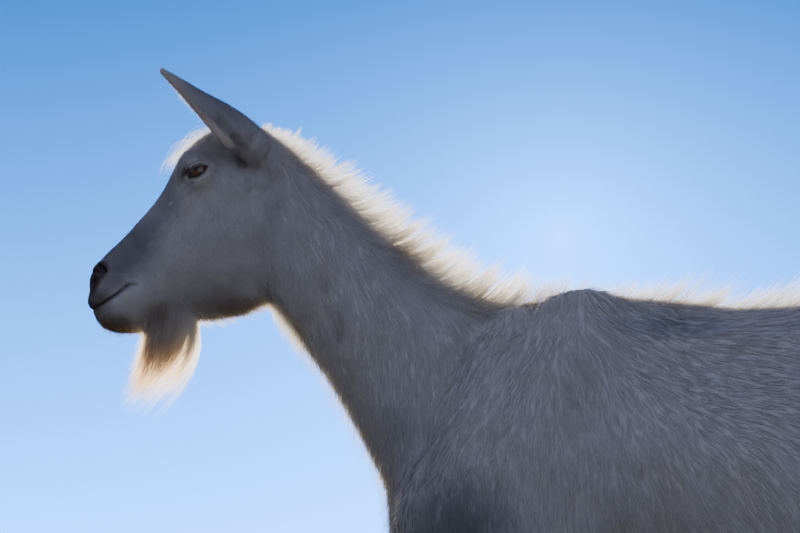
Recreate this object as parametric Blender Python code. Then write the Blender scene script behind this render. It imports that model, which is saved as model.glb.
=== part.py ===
"""A polled white dairy goat standing alert, life size, as a still museum model.

Frame: the goat looks along -Y, +Z is up, and its left side is +X. Metres.
The origin is on the floor under the middle of the goat's bounding box.
Profile tables give places as (y, z), with y measured back from the withers and z up from the floor.
"""

import math

import bmesh
import bpy
import numpy as np
from mathutils import Matrix, Vector

WITHERS_Y = -0.0785  # where the withers stand along the row's Y
JOINT_GAP = 0.0004  # width of the thin cuts that part one piece from the next
RING_SIDES = 48  # points round each cross-section
RINGS_PER_RIB = 7  # interpolated cross-sections between two ribs
BODY_VOXEL = 0.0042
HEAD_TRIANGLES = 1500
BODY_TRIANGLES = 2300
NAPE_MARGIN = 0.008  # how far head and body are kept past their cut until it is made
BLOCK_REACH = 2.0  # longer than the goat, for cutting blocks
SMOOTH_PASSES = 10
CREASE_ANGLE = 50  # degrees, past which an edge is shaded sharp

EYE_RADIUS = 0.0152
EYE_SEGMENTS = 12
EYE_CENTRE = (0.0425, -0.3825, 0.9165)
LID_OPENING = (0.0600, -0.3885, 0.9175)
LID_RADII = (0.0150, 0.0102, 0.0062)
LID_TILT = 24  # degrees that the front corner of the eye drops
NOSTRIL = (0.0190, -0.4885, 0.8130)
NOSTRIL_RADII = (0.0085, 0.0050, 0.0105)
MOUTH_FRONT = (-0.5000, 0.7760)
MOUTH_CORNER = (-0.4550, 0.8045)
MOUTH_WIDTH = 0.0014
MOUTH_DEPTH = 0.0025
NOSTRIL_TURN = (30, -18)  # degrees that the pit turns outwards and leans back
PIT_SEGMENTS = 10

# Places of the cuts between neighbours, as two points of each cut's line in profile.
NAPE_CUT = ((-0.303, 0.953), (-0.323, 0.778))
SHOULDER_CUT = ((-0.058, 0.790), (-0.187, 0.580))

# The block that holds each leg: a slanted top as a point and its normal, how far out its inner
# face is, and the plane that ends it behind or in front.
LEG_CUTS = {
    "front": (((0.045, 0, 0.452), (-0.88, 0, 0.475)), 0.020, ((0, 0.062, 0), (0, 1, 0))),
    "hind": (((0.100, 0.380, 0.600), (-0.74, -0.20, 0.64)), 0.012, ((0, 0.362, 0), (0, -1, 0))),
}

# A foot: the middle of its coronet in profile, and how far out it stands.
FEET = {"front": (-0.0765, 0.073), "hind": (0.5290, 0.078)}
CORONET_TOE = (-0.0245, 0.0420)
CORONET_HEEL = (0.0265, 0.0230)
CORONET_HALF_WIDTH = 0.0225
SOLE_TOE = -0.0470
SOLE_HEEL = 0.0170
SOLE_HALF_WIDTH = 0.0245
SOLE_CHAMFER = 0.0020
CLEFT = 0.0036
CLAW_ARC_POINTS = 9
DEWCLAW_START = (0.0110, 0.0310, 0.0930)
DEWCLAW_END = (0.0125, 0.0510, 0.0740)
DEWCLAW_RADII = (0.0068, 0.0030)
DEWCLAW_SIDES = 7

HALF_AT_QUARTER = math.sin(math.radians(60))  # an ellipse's half-width at a quarter of its height

WHITE_COAT = ("white_coat", (0.83, 0.80, 0.74), 0.85)
CREAM_HAIR = ("cream_hair", (0.80, 0.72, 0.58), 0.8)
HORN = ("hoof_horn", (0.30, 0.25, 0.19), 0.5)
AMBER = ("amber_eye", (0.36, 0.20, 0.06), 0.1)
PINK_SKIN = ("udder_skin", (0.80, 0.60, 0.52), 0.6)

# Triangles in each mass of hair and in the udder.
HAIR_TRIANGLES = {"mane": 220, "forelock": 100, "beard": 200, "tail": 180}
UDDER_TRIANGLES = 240
UDDER_VOXEL = 0.004
UDDER_SMOOTH_PASSES = 4

# Each rib is one cross-section of a form: its crest and keel in profile, then its
# half-widths a quarter of the way down from the crest, halfway, and three quarters down.
TRUNK_RIBS = (
    ((-0.192, 0.590), (-0.190, 0.532), (0.034, 0.044, 0.034)),
    ((-0.182, 0.650), (-0.178, 0.498), (0.054, 0.070, 0.054)),
    ((-0.148, 0.725), (-0.148, 0.466), (0.064, 0.086, 0.064)),
    ((-0.080, 0.775), (-0.085, 0.447), (0.070, 0.102, 0.072)),
    ((0.000, 0.797), (0.000, 0.437), (0.075, 0.114, 0.082)),
    ((0.085, 0.793), (0.090, 0.425), (0.094, 0.136, 0.104)),
    ((0.175, 0.784), (0.180, 0.405), (0.120, 0.164, 0.135)),
    ((0.270, 0.791), (0.270, 0.398), (0.126, 0.174, 0.148)),
    ((0.360, 0.799), (0.360, 0.420), (0.112, 0.158, 0.126)),
    ((0.430, 0.801), (0.435, 0.463), (0.094, 0.132, 0.096)),
    ((0.500, 0.790), (0.505, 0.505), (0.078, 0.110, 0.070)),
    ((0.560, 0.768), (0.570, 0.560), (0.058, 0.084, 0.050)),
    ((0.600, 0.742), (0.612, 0.620), (0.038, 0.054, 0.030)),
    ((0.612, 0.720), (0.622, 0.660), (0.018, 0.026, 0.016)),
)
NECK_RIBS = (
    ((-0.010, 0.792), (-0.190, 0.520), (0.060, 0.085, 0.070)),
    ((-0.045, 0.790), (-0.195, 0.565), (0.050, 0.074, 0.066)),
    ((-0.085, 0.794), (-0.200, 0.600), (0.038, 0.061, 0.058)),
    ((-0.130, 0.812), (-0.225, 0.650), (0.030, 0.050, 0.052)),
    ((-0.180, 0.848), (-0.255, 0.702), (0.028, 0.046, 0.048)),
    ((-0.225, 0.887), (-0.284, 0.742), (0.029, 0.044, 0.045)),
    ((-0.268, 0.931), (-0.308, 0.775), (0.031, 0.044, 0.043)),
    ((-0.300, 0.958), (-0.325, 0.800), (0.032, 0.042, 0.040)),
)
HEAD_RIBS = (
    ((-0.5010, 0.8070), (-0.4960, 0.7760), (0.0110, 0.0140, 0.0110)),
    ((-0.4960, 0.8205), (-0.4895, 0.7640), (0.0165, 0.0210, 0.0180)),
    ((-0.4860, 0.8355), (-0.4740, 0.7560), (0.0195, 0.0265, 0.0235)),
    ((-0.4700, 0.8515), (-0.4440, 0.7560), (0.0200, 0.0305, 0.0270)),
    ((-0.4450, 0.8795), (-0.4060, 0.7670), (0.0225, 0.0335, 0.0260)),
    ((-0.4260, 0.9030), (-0.3740, 0.7680), (0.0320, 0.0430, 0.0290)),
    ((-0.4110, 0.9320), (-0.3480, 0.7730), (0.0440, 0.0510, 0.0360)),
    ((-0.3900, 0.9550), (-0.3290, 0.7800), (0.0500, 0.0530, 0.0410)),
    ((-0.3620, 0.9700), (-0.3060, 0.7980), (0.0450, 0.0510, 0.0430)),
    ((-0.3300, 0.9700), (-0.2840, 0.8200), (0.0350, 0.0440, 0.0400)),
    ((-0.3000, 0.9550), (-0.2650, 0.8400), (0.0260, 0.0360, 0.0340)),
)
MANE_RIBS = (
    ((-0.3240, 0.9700), (-0.3180, 0.9550), (0.0040, 0.0080, 0.0110)),
    ((-0.2950, 0.9730), (-0.3000, 0.9450), (0.0060, 0.0110, 0.0150)),
    ((-0.2520, 0.9550), (-0.2700, 0.9250), (0.0060, 0.0115, 0.0160)),
    ((-0.2060, 0.9170), (-0.2320, 0.8830), (0.0060, 0.0120, 0.0170)),
    ((-0.1660, 0.8840), (-0.1880, 0.8450), (0.0065, 0.0125, 0.0180)),
    ((-0.1170, 0.8510), (-0.1370, 0.8100), (0.0070, 0.0130, 0.0190)),
    ((-0.0740, 0.8270), (-0.0810, 0.7880), (0.0070, 0.0135, 0.0200)),
    ((-0.0310, 0.8210), (-0.0300, 0.7840), (0.0070, 0.0140, 0.0210)),
    ((0.0260, 0.8180), (0.0260, 0.7860), (0.0070, 0.0140, 0.0210)),
    ((0.0950, 0.8170), (0.0950, 0.7820), (0.0070, 0.0140, 0.0210)),
    ((0.1740, 0.8140), (0.1740, 0.7750), (0.0070, 0.0140, 0.0210)),
    ((0.2600, 0.8150), (0.2600, 0.7800), (0.0065, 0.0130, 0.0200)),
    ((0.3500, 0.8140), (0.3500, 0.7880), (0.0060, 0.0110, 0.0160)),
    ((0.4100, 0.8060), (0.4100, 0.7920), (0.0030, 0.0060, 0.0090)),
)
BEARD_RIBS = (
    ((-0.4400, 0.7660), (-0.3940, 0.7760), (0.0095, 0.0115, 0.0095)),
    ((-0.4440, 0.7560), (-0.3910, 0.7640), (0.0110, 0.0130, 0.0110)),
    ((-0.4490, 0.7430), (-0.3930, 0.7430), (0.0115, 0.0135, 0.0115)),
    ((-0.4540, 0.7270), (-0.3985, 0.7260), (0.0105, 0.0125, 0.0105)),
    ((-0.4600, 0.7120), (-0.4070, 0.7100), (0.0085, 0.0100, 0.0085)),
    ((-0.4660, 0.6990), (-0.4220, 0.6980), (0.0060, 0.0070, 0.0060)),
    ((-0.4680, 0.6910), (-0.4440, 0.6900), (0.0025, 0.0030, 0.0025)),
)
TAIL_RIBS = (
    ((0.5550, 0.7700), (0.5700, 0.7350), (0.0170, 0.0190, 0.0150)),
    ((0.6020, 0.7660), (0.5950, 0.7280), (0.0180, 0.0210, 0.0160)),
    ((0.6370, 0.7420), (0.6080, 0.7150), (0.0200, 0.0230, 0.0170)),
    ((0.6550, 0.7020), (0.6200, 0.6880), (0.0210, 0.0240, 0.0170)),
    ((0.6580, 0.6560), (0.6300, 0.6500), (0.0150, 0.0180, 0.0130)),
    ((0.6520, 0.6190), (0.6400, 0.6180), (0.0040, 0.0050, 0.0040)),
)
# Limb ribs add, after the half-widths, how far the section's middle stands from the mid-plane.
FORELEG_RIBS = (
    ((-0.020, 0.790), (0.040, 0.790), (0.008, 0.012, 0.008), 0.022),
    ((-0.075, 0.740), (0.066, 0.740), (0.018, 0.024, 0.018), 0.047),
    ((-0.136, 0.660), (0.064, 0.660), (0.030, 0.036, 0.030), 0.074),
    ((-0.186, 0.585), (0.055, 0.590), (0.036, 0.043, 0.034), 0.083),
    ((-0.180, 0.535), (0.048, 0.525), (0.036, 0.042, 0.032), 0.084),
    ((-0.130, 0.480), (0.036, 0.472), (0.030, 0.036, 0.026), 0.085),
    ((-0.100, 0.425), (0.004, 0.420), (0.025, 0.029, 0.019), 0.083),
    ((-0.088, 0.360), (-0.022, 0.355), (0.019, 0.022, 0.016), 0.079),
    ((-0.084, 0.305), (-0.034, 0.300), (0.018, 0.020, 0.017), 0.076),
    ((-0.088, 0.273), (-0.034, 0.268), (0.020, 0.0225, 0.018), 0.075),
    ((-0.080, 0.238), (-0.037, 0.236), (0.0150, 0.0170, 0.0135), 0.074),
    ((-0.074, 0.180), (-0.040, 0.178), (0.0125, 0.0145, 0.0120), 0.073),
    ((-0.074, 0.130), (-0.039, 0.126), (0.0135, 0.0155, 0.0135), 0.073),
    ((-0.078, 0.106), (-0.037, 0.100), (0.0165, 0.0190, 0.0165), 0.073),
    ((-0.089, 0.078), (-0.046, 0.068), (0.0160, 0.0185, 0.0160), 0.073),
    ((-0.101, 0.052), (-0.052, 0.036), (0.0190, 0.0225, 0.0190), 0.073),
    ((-0.105, 0.034), (-0.050, 0.014), (0.0180, 0.0220, 0.0180), 0.073),
)
HINDLEG_RIBS = (
    ((0.420, 0.755), (0.550, 0.735), (0.018, 0.024, 0.018), 0.036),
    ((0.398, 0.705), (0.612, 0.690), (0.030, 0.039, 0.028), 0.060),
    ((0.382, 0.630), (0.634, 0.640), (0.036, 0.048, 0.038), 0.076),
    ((0.372, 0.550), (0.636, 0.580), (0.036, 0.050, 0.038), 0.084),
    ((0.368, 0.490), (0.620, 0.510), (0.036, 0.045, 0.030), 0.090),
    ((0.388, 0.430), (0.598, 0.445), (0.030, 0.036, 0.021), 0.090),
    ((0.440, 0.375), (0.592, 0.390), (0.023, 0.028, 0.015), 0.086),
    ((0.495, 0.330), (0.602, 0.345), (0.019, 0.022, 0.011), 0.083),
    ((0.530, 0.290), (0.612, 0.312), (0.0190, 0.0215, 0.0130), 0.081),
    ((0.543, 0.255), (0.600, 0.262), (0.0175, 0.0195, 0.0140), 0.080),
    ((0.545, 0.215), (0.586, 0.218), (0.0140, 0.0155, 0.0125), 0.079),
    ((0.542, 0.165), (0.577, 0.166), (0.0125, 0.0145, 0.0120), 0.078),
    ((0.537, 0.130), (0.574, 0.128), (0.0140, 0.0160, 0.0140), 0.078),
    ((0.531, 0.108), (0.574, 0.102), (0.0165, 0.0190, 0.0165), 0.078),
    ((0.518, 0.078), (0.563, 0.068), (0.0155, 0.0180, 0.0155), 0.078),
    ((0.505, 0.052), (0.553, 0.036), (0.0185, 0.0215, 0.0185), 0.078),
    ((0.501, 0.034), (0.555, 0.014), (0.0180, 0.0220, 0.0180), 0.078),
)
# Where each foot stands, measured back from its table's place: a natural, slightly open stance.
STRIDES = {"front_left": -0.012, "front_right": 0.010, "hind_left": 0.014, "hind_right": -0.012}

UDDER_RIBS = (
    ((0.385, 0.470), (0.395, 0.435), (0.014, 0.020, 0.016)),
    ((0.410, 0.520), (0.415, 0.410), (0.040, 0.048, 0.036)),
    ((0.450, 0.530), (0.455, 0.385), (0.048, 0.060, 0.050)),
    ((0.500, 0.550), (0.500, 0.375), (0.046, 0.058, 0.050)),
    ((0.545, 0.580), (0.545, 0.400), (0.034, 0.046, 0.040)),
    ((0.575, 0.600), (0.572, 0.460), (0.014, 0.022, 0.018)),
)
TEAT_TOP = (0.034, 0.474, 0.400)
TEAT_TIP = (0.043, 0.462, 0.334)
TEAT_RADII = (0.014, 0.006)
TEAT_SIDES = 16
FORELOCK_RIBS = (
    ((-0.3500, 0.9735), (-0.3480, 0.9600), (0.0020, 0.0040, 0.0060)),
    ((-0.3850, 0.9685), (-0.3780, 0.9480), (0.0040, 0.0090, 0.0160)),
    ((-0.4040, 0.9580), (-0.3910, 0.9360), (0.0045, 0.0100, 0.0180)),
    ((-0.4180, 0.9380), (-0.4000, 0.9220), (0.0040, 0.0090, 0.0150)),
    ((-0.4240, 0.9160), (-0.4110, 0.9080), (0.0020, 0.0040, 0.0060)),
)

# Bone and muscle that stand out on each side of the head: centre, radii, and forward lean in degrees.
FACE_FORMS = {
    "orbit": ((0.0270, -0.3830, 0.9180), (0.0345, 0.0300, 0.0220), -38),
    "cheekbone": ((0.0330, -0.3520, 0.9020), (0.0220, 0.0480, 0.0200), 0),
    "cheek": ((0.0190, -0.3520, 0.8420), (0.0265, 0.0420, 0.0520), -38),
    "ear_root": ((0.0300, -0.3180, 0.9250), (0.0200, 0.0260, 0.0300), 0),
    "nostril_wing": ((0.0115, -0.4880, 0.8150), (0.0115, 0.0110, 0.0125), 0),
    "upper_lip": ((0.0085, -0.4880, 0.7880), (0.0150, 0.0160, 0.0105), 0),
    "chin_pad": ((0.0080, -0.4690, 0.7700), (0.0140, 0.0200, 0.0135), 0),
}

# The ear: share of its length, half-chord, depth from back to rim, half of the arc its wall
# covers in degrees, wall thickness.
EAR_STATIONS = (
    (0.00, 0.0170, 0.0380, 172, 0.0150),
    (0.10, 0.0185, 0.0385, 160, 0.0110),
    (0.21, 0.0200, 0.0350, 136, 0.0060),
    (0.30, 0.0215, 0.0338, 120, 0.0042),
    (0.41, 0.0225, 0.0300, 106, 0.0038),
    (0.50, 0.0220, 0.0250, 98, 0.0036),
    (0.60, 0.0200, 0.0190, 92, 0.0034),
    (0.72, 0.0160, 0.0130, 86, 0.0031),
    (0.84, 0.0105, 0.0085, 80, 0.0028),
    (0.94, 0.0052, 0.0050, 74, 0.0024),
    (1.00, 0.0022, 0.0026, 70, 0.0020),
)
EAR_ARC_POINTS = 11
EAR_TRIANGLES = 320
EAR_BASE = (0.0430, -0.3220, 0.9370)
EAR_TIPS = {"left": (0.1120, -0.4195, 1.0125), "right": (0.1080, -0.3980, 1.0170)}
EAR_OPENS = (-0.15, -0.62, -0.78)


def curve_through(rows, steps):
    """Catmull-Rom rows between the given ones, with the first and last kept."""
    rows = np.asarray(rows, float)
    padded = np.vstack((2 * rows[0] - rows[1], rows, 2 * rows[-1] - rows[-2]))
    shares = np.linspace(0, 1, steps, endpoint=False)[:, None]
    made = []
    for a, b, c, d in zip(padded, padded[1:], padded[2:], padded[3:]):
        made.append(
            0.5
            * (
                2 * b
                + (c - a) * shares
                + (2 * a - 5 * b + 4 * c - d) * shares**2
                + (3 * b - a - 3 * c + d) * shares**3
            )
        )
    return np.vstack((*made, rows[-1:]))


def section_loop(row):
    """One closed cross-section from a rib's nine numbers, clockwise seen from the crest's front."""
    crest_y, crest_z, keel_y, keel_z, upper, middle, lower, across, _ = row
    upper, middle, lower = (max(w, 0.0005) for w in (upper, middle, lower))
    upper, lower = upper / HALF_AT_QUARTER, lower / HALF_AT_QUARTER
    centre = Vector((across, (crest_y + keel_y) / 2, (crest_z + keel_z) / 2))
    rise = Vector((0, (crest_y - keel_y) / 2, (crest_z - keel_z) / 2))
    loop = []
    for k in range(RING_SIDES):
        angle = 2 * math.pi * k / RING_SIDES
        down = math.acos(math.cos(angle))
        share = min(1.35, max(-1.35, (down - math.pi / 2) / (math.pi / 6)))
        width = middle + share * (lower - upper) / 2 + share**2 * ((upper + lower) / 2 - middle)
        loop.append(centre + rise * math.cos(angle) + Vector((math.sin(angle) * width, 0, 0)))
    return loop


def bridged(name, loops):
    """A closed mesh object through a row of closed loops, capped at both ends."""
    mesh = bmesh.new()
    rings = [[mesh.verts.new(point) for point in loop] for loop in loops]
    for first, second in zip(rings, rings[1:]):
        for k in range(len(first)):
            after = (k + 1) % len(first)
            mesh.faces.new((first[k], first[after], second[after], second[k]))
    mesh.faces.new(list(reversed(rings[0])))
    mesh.faces.new(rings[-1])
    bmesh.ops.recalc_face_normals(mesh, faces=mesh.faces)
    data = bpy.data.meshes.new(name)
    mesh.to_mesh(data)
    mesh.free()
    made = bpy.data.objects.new(name, data)
    bpy.context.scene.collection.objects.link(made)
    return made


def loft(name, ribs, side=1, shift_back=None, steps=RINGS_PER_RIB):
    """A form through its ribs. side mirrors it; shift_back moves a limb's lower end along Y."""
    rows = []
    for crest, keel, widths, *across in ribs:
        out = side * across[0] if across else 0.0
        rows.append((*crest, *keel, *widths, out, 0.0))
    rows = curve_through(rows, steps)
    if shift_back:
        top, bottom = ribs[3][0][1], ribs[-3][0][1]
        for row in rows:
            share = min(1.0, max(0.0, (top - row[1]) / (top - bottom)))
            row[0] += shift_back * share
            row[2] += shift_back * share
    return bridged(name, [section_loop(row) for row in rows])


def rounded(name, centre, radii, turn=Matrix.Identity(4), segments=18):
    """An egg-shaped muscle, bone bump or pit."""
    bpy.ops.mesh.primitive_uv_sphere_add(segments=segments, ring_count=segments // 2 + 1, radius=1)
    made = bpy.context.object
    made.name = name
    made.data.transform(Matrix.Translation(centre) @ turn @ Matrix.Diagonal((*radii, 1)))
    return made


def tapered(name, start, end, radii, sides):
    """A closed blunt cone between two points, for teats and dewclaws."""
    turn = (end - start).to_track_quat("Z", "Y").to_matrix()
    angles = [2 * math.pi * k / sides for k in range(sides)]
    ring = [turn @ Vector((math.cos(angle), math.sin(angle), 0)) for angle in angles]
    stations = ((0.0, radii[0]), (0.75, sum(radii) / 2), (1.0, radii[1]))
    return bridged(name, [[start.lerp(end, share) + point * radius for point in ring]
                          for share, radius in stations])


def both_sides(point, side):
    """A left-hand place, or the same place mirrored to the right for side -1."""
    return Vector((side * point[0], point[1], point[2]))


def modifier(target, kind, **settings):
    added = target.modifiers.new(kind.lower(), kind)
    for key, value in settings.items():
        setattr(added, key, value)
    return added


def settled(target):
    """Bakes an object's modifiers and place into its own mesh."""
    bpy.context.view_layer.update()
    graph = bpy.context.evaluated_depsgraph_get()
    data = bpy.data.meshes.new_from_object(target.evaluated_get(graph))
    data.transform(target.matrix_world)
    target.modifiers.clear()
    target.data = data
    target.matrix_world = Matrix.Identity(4)
    return target


def removed(*objects):
    for each in objects:
        bpy.data.objects.remove(each)


def joined(name, pieces):
    """Several meshes as one object, still separate shells."""
    mesh = bmesh.new()
    for piece in pieces:
        mesh.from_mesh(piece.data)
    data = bpy.data.meshes.new(name)
    mesh.to_mesh(data)
    mesh.free()
    removed(*pieces)
    made = bpy.data.objects.new(name, data)
    bpy.context.scene.collection.objects.link(made)
    return made


def cut(target, cutter, operation="DIFFERENCE"):
    modifier(target, "BOOLEAN", operation=operation, object=cutter, solver="EXACT")
    return settled(target)


def copied(source, name):
    made = bpy.data.objects.new(name, source.data.copy())
    bpy.context.scene.collection.objects.link(made)
    return made


def swollen(source, name, amount=JOINT_GAP):
    """A copy grown outwards by the joint gap, used to trim what meets it."""
    made = copied(source, name)
    modifier(made, "DISPLACE", strength=amount, mid_level=0.0, direction="NORMAL")
    return settled(made)


def block(name, planes, grow=0.0):
    """The convex block left of a large cube by planes, each a point and its outward normal."""
    mesh = bmesh.new()
    bmesh.ops.create_cube(mesh, size=2 * BLOCK_REACH)
    for point, outward in planes:
        normal = Vector(outward).normalized()
        everything = mesh.verts[:] + mesh.edges[:] + mesh.faces[:]
        done = bmesh.ops.bisect_plane(
            mesh, geom=everything, plane_co=Vector(point) + normal * grow, plane_no=normal, clear_outer=True
        )
        rim = [e for e in done["geom_cut"] if isinstance(e, bmesh.types.BMEdge)]
        bmesh.ops.contextual_create(mesh, geom=rim)
    bmesh.ops.recalc_face_normals(mesh, faces=mesh.faces)
    data = bpy.data.meshes.new(name)
    mesh.to_mesh(data)
    mesh.free()
    made = bpy.data.objects.new(name, data)
    bpy.context.scene.collection.objects.link(made)
    return made


def profile_plane(line, side):
    """A cut seen edge-on in profile: a point and the normal that points to one side of it."""
    (y0, z0), (y1, z1) = line
    along = Vector((0, y1 - y0, z1 - z0)).normalized()
    return (0, y0, z0), side * Vector((0, -along.z, along.y))


def largest_piece(target):
    """Keeps the biggest closed shell of a mesh."""
    mesh = bmesh.new()
    mesh.from_mesh(target.data)
    unseen = set(mesh.verts)
    islands = []
    while unseen:
        stack = [unseen.pop()]
        island = []
        while stack:
            vertex = stack.pop()
            island.append(vertex)
            for edge in vertex.link_edges:
                other = edge.other_vert(vertex)
                if other in unseen:
                    unseen.remove(other)
                    stack.append(other)
        islands.append(island)
    islands.sort(key=len)
    for island in islands[:-1]:
        bmesh.ops.delete(mesh, geom=island, context="VERTS")
    mesh.to_mesh(target.data)
    mesh.free()
    return target


def thinned(target, triangles):
    """The same form with about so many triangles."""
    target.data.calc_loop_triangles()
    ratio = triangles / len(target.data.loop_triangles)
    modifier(target, "DECIMATE", ratio=ratio, use_collapse_triangulate=True)
    return settled(target)


def sliced(source, name, plane, margin):
    """The closed part of a copy that lies behind a plane moved outwards by a margin."""
    made = copied(source, name)
    point, outward = plane
    mesh = bmesh.new()
    mesh.from_mesh(made.data)
    everything = mesh.verts[:] + mesh.edges[:] + mesh.faces[:]
    normal = Vector(outward).normalized()
    done = bmesh.ops.bisect_plane(
        mesh, geom=everything, plane_co=Vector(point) + normal * margin, plane_no=normal, clear_outer=True
    )
    rim = [e for e in done["geom_cut"] if isinstance(e, bmesh.types.BMEdge)]
    bmesh.ops.contextual_create(mesh, geom=rim)
    mesh.to_mesh(made.data)
    mesh.free()
    return made


def finished(target, name, material):
    """Names a piece, gives it its material and hangs it on the goat."""
    target.name = name
    target.data.name = name
    title, colour, roughness = material
    paint = bpy.data.materials.get(title) or bpy.data.materials.new(title)
    paint.use_nodes = True
    shader = paint.node_tree.nodes["Principled BSDF"]
    shader.inputs["Base Color"].default_value = (*colour, 1)
    shader.inputs["Roughness"].default_value = roughness
    shader.inputs["Metallic"].default_value = 0.0
    target.data.materials.clear()
    target.data.materials.append(paint)
    target.data.shade_smooth()
    target.data.set_sharp_from_angle(angle=math.radians(CREASE_ANGLE))
    target.parent = bpy.data.objects["goat"]
    return target


def face_forms(side):
    """Bone and muscle that stand out on one side of the head."""
    forms = []
    for name, (centre, radii, lean) in FACE_FORMS.items():
        turn = Matrix.Rotation(math.radians(lean), 4, "X")
        forms.append(rounded(name, both_sides(centre, side), radii, turn))
    return forms


def whole_body():
    """Trunk, neck, head and legs as one smooth closed skin."""
    forms = [loft("trunk_form", TRUNK_RIBS), loft("neck_form", NECK_RIBS), loft("head_form", HEAD_RIBS)]
    for side, word in ((1, "left"), (-1, "right")):
        forms.append(loft("foreleg", FORELEG_RIBS, side, STRIDES["front_" + word]))
        forms.append(loft("hindleg", HINDLEG_RIBS, side, STRIDES["hind_" + word]))
        forms += face_forms(side)
    body = joined("body", forms)
    modifier(body, "REMESH", mode="VOXEL", voxel_size=BODY_VOXEL, adaptivity=0.0)
    modifier(body, "SMOOTH", factor=0.5, iterations=SMOOTH_PASSES)
    return settled(body)


def carve_mouth(head):
    """A narrow groove round the muzzle between the lips."""
    lips = [profile_plane((MOUTH_FRONT, MOUTH_CORNER), side) for side in (1, -1)]
    behind = ((0, MOUTH_CORNER[0], 0), (0, 1, 0))
    groove = block("mouth_groove", (*lips, behind), grow=MOUTH_WIDTH / 2)
    core = swollen(head, "muzzle_core", -MOUTH_DEPTH)
    cut(groove, core)
    cut(head, groove)
    removed(core, groove)


def carve_face(head):
    """Opens the mouth line, the nostrils and the gap between the lids."""
    carve_mouth(head)
    for side in (1, -1):
        lean = Matrix.Rotation(math.radians(LID_TILT), 4, "X")
        opening = rounded("opening", both_sides(LID_OPENING, side), LID_RADII, lean, PIT_SEGMENTS)
        cut(head, opening)
        orb = (EYE_RADIUS + JOINT_GAP,) * 3
        socket = rounded("socket", both_sides(EYE_CENTRE, side), orb, segments=EYE_SEGMENTS)
        cut(head, socket)
        outwards = Matrix.Rotation(math.radians(-side * NOSTRIL_TURN[0]), 4, "Z")
        backwards = Matrix.Rotation(math.radians(NOSTRIL_TURN[1]), 4, "X")
        turn = outwards @ backwards
        pit = rounded("nostril_pit", both_sides(NOSTRIL, side), NOSTRIL_RADII, turn, PIT_SEGMENTS)
        cut(head, pit)
        removed(opening, socket, pit)


def leg_planes(row, side, stride):
    """The block that holds one leg: a slanted top, an inner face, a back or front, and its coronet."""
    mid_y = FEET[row][0] + stride
    toe = (mid_y + CORONET_TOE[0], CORONET_TOE[1])
    heel = (mid_y + CORONET_HEEL[0], CORONET_HEEL[1])
    (top, upwards), inner, end = LEG_CUTS[row]
    return (
        (both_sides(top, side), both_sides(upwards, side)),
        (both_sides((inner, 0, 0), side), (-side, 0, 0)),
        end,
        profile_plane((toe, heel), -1),
    )


def divided(head, body):
    """Parts head and body with thin cuts into head, neck, legs and, last, trunk."""
    zones = {
        "head": (profile_plane(NAPE_CUT, 1),),
        "neck": (profile_plane(NAPE_CUT, -1), profile_plane(SHOULDER_CUT, 1)),
    }
    for row in ("front", "hind"):
        for side, word in ((1, "left"), (-1, "right")):
            zones[f"leg_{row}_{word}"] = leg_planes(row, side, STRIDES[f"{row}_{word}"])
    for name, planes in zones.items():
        inner = block("zone", planes, grow=-JOINT_GAP / 2)
        piece = copied(head if name == "head" else body, name)
        cut(piece, inner, "INTERSECT")
        finished(largest_piece(piece), name, WHITE_COAT)
        removed(inner)
    trunk = copied(body, "trunk")
    for name, planes in zones.items():
        outer = block("zone", planes, grow=JOINT_GAP / 2)
        cut(trunk, outer)
        removed(outer)
    finished(largest_piece(trunk), "trunk", WHITE_COAT)


def eye(word, side):
    """One eyeball in its socket."""
    orb = (EYE_RADIUS,) * 3
    ball = rounded("eye", both_sides(EYE_CENTRE, side), orb, segments=EYE_SEGMENTS)
    finished(ball, "eye_" + word, AMBER)


def ear(word, side, head_shell):
    """A leaf-shaped shell rolled into a tube at its root, trimmed where it meets the head."""
    base = both_sides(EAR_BASE, side)
    tip = both_sides(EAR_TIPS[word], side)
    along = (tip - base).normalized()
    opens = both_sides(EAR_OPENS, side)
    opens = (opens - along * opens.dot(along)).normalized()
    across = along.cross(opens)
    rows = curve_through(EAR_STATIONS, 2)
    loops = []
    for share, chord, depth, half_arc, wall in rows:
        arc = math.radians(half_arc)
        deep = depth / (1 - math.cos(arc))
        centre = base.lerp(tip, share) + opens * (deep * (1 + math.cos(arc)) / 2)
        angles = [-arc + 2 * arc * k / (EAR_ARC_POINTS - 1) for k in range(EAR_ARC_POINTS)]
        outer = [centre + across * chord * math.sin(a) - opens * deep * math.cos(a) for a in angles]
        thin_chord, thin_deep = max(chord - wall, chord * 0.1), max(deep - wall, deep * 0.1)
        inner = [
            centre + across * thin_chord * math.sin(a) - opens * thin_deep * math.cos(a)
            for a in reversed(angles)
        ]
        loops.append(outer + inner)
    made = thinned(bridged("ear_" + word, loops), EAR_TRIANGLES)
    cut(made, head_shell)
    finished(largest_piece(made), "ear_" + word, WHITE_COAT)


def claw_loop(half_width, front, back, height):
    """Half an ellipse outside a straight cleft side; height gives z at a place along the foot."""
    points = []
    for k in range(CLAW_ARC_POINTS):
        angle = math.pi * k / (CLAW_ARC_POINTS - 1)
        out = CLEFT / 2 + (half_width - CLEFT / 2) * math.sin(angle) ** 0.8
        along = (front + back) / 2 - (back - front) / 2 * math.cos(angle)
        points.append((out, along, height(along)))
    return points


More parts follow.
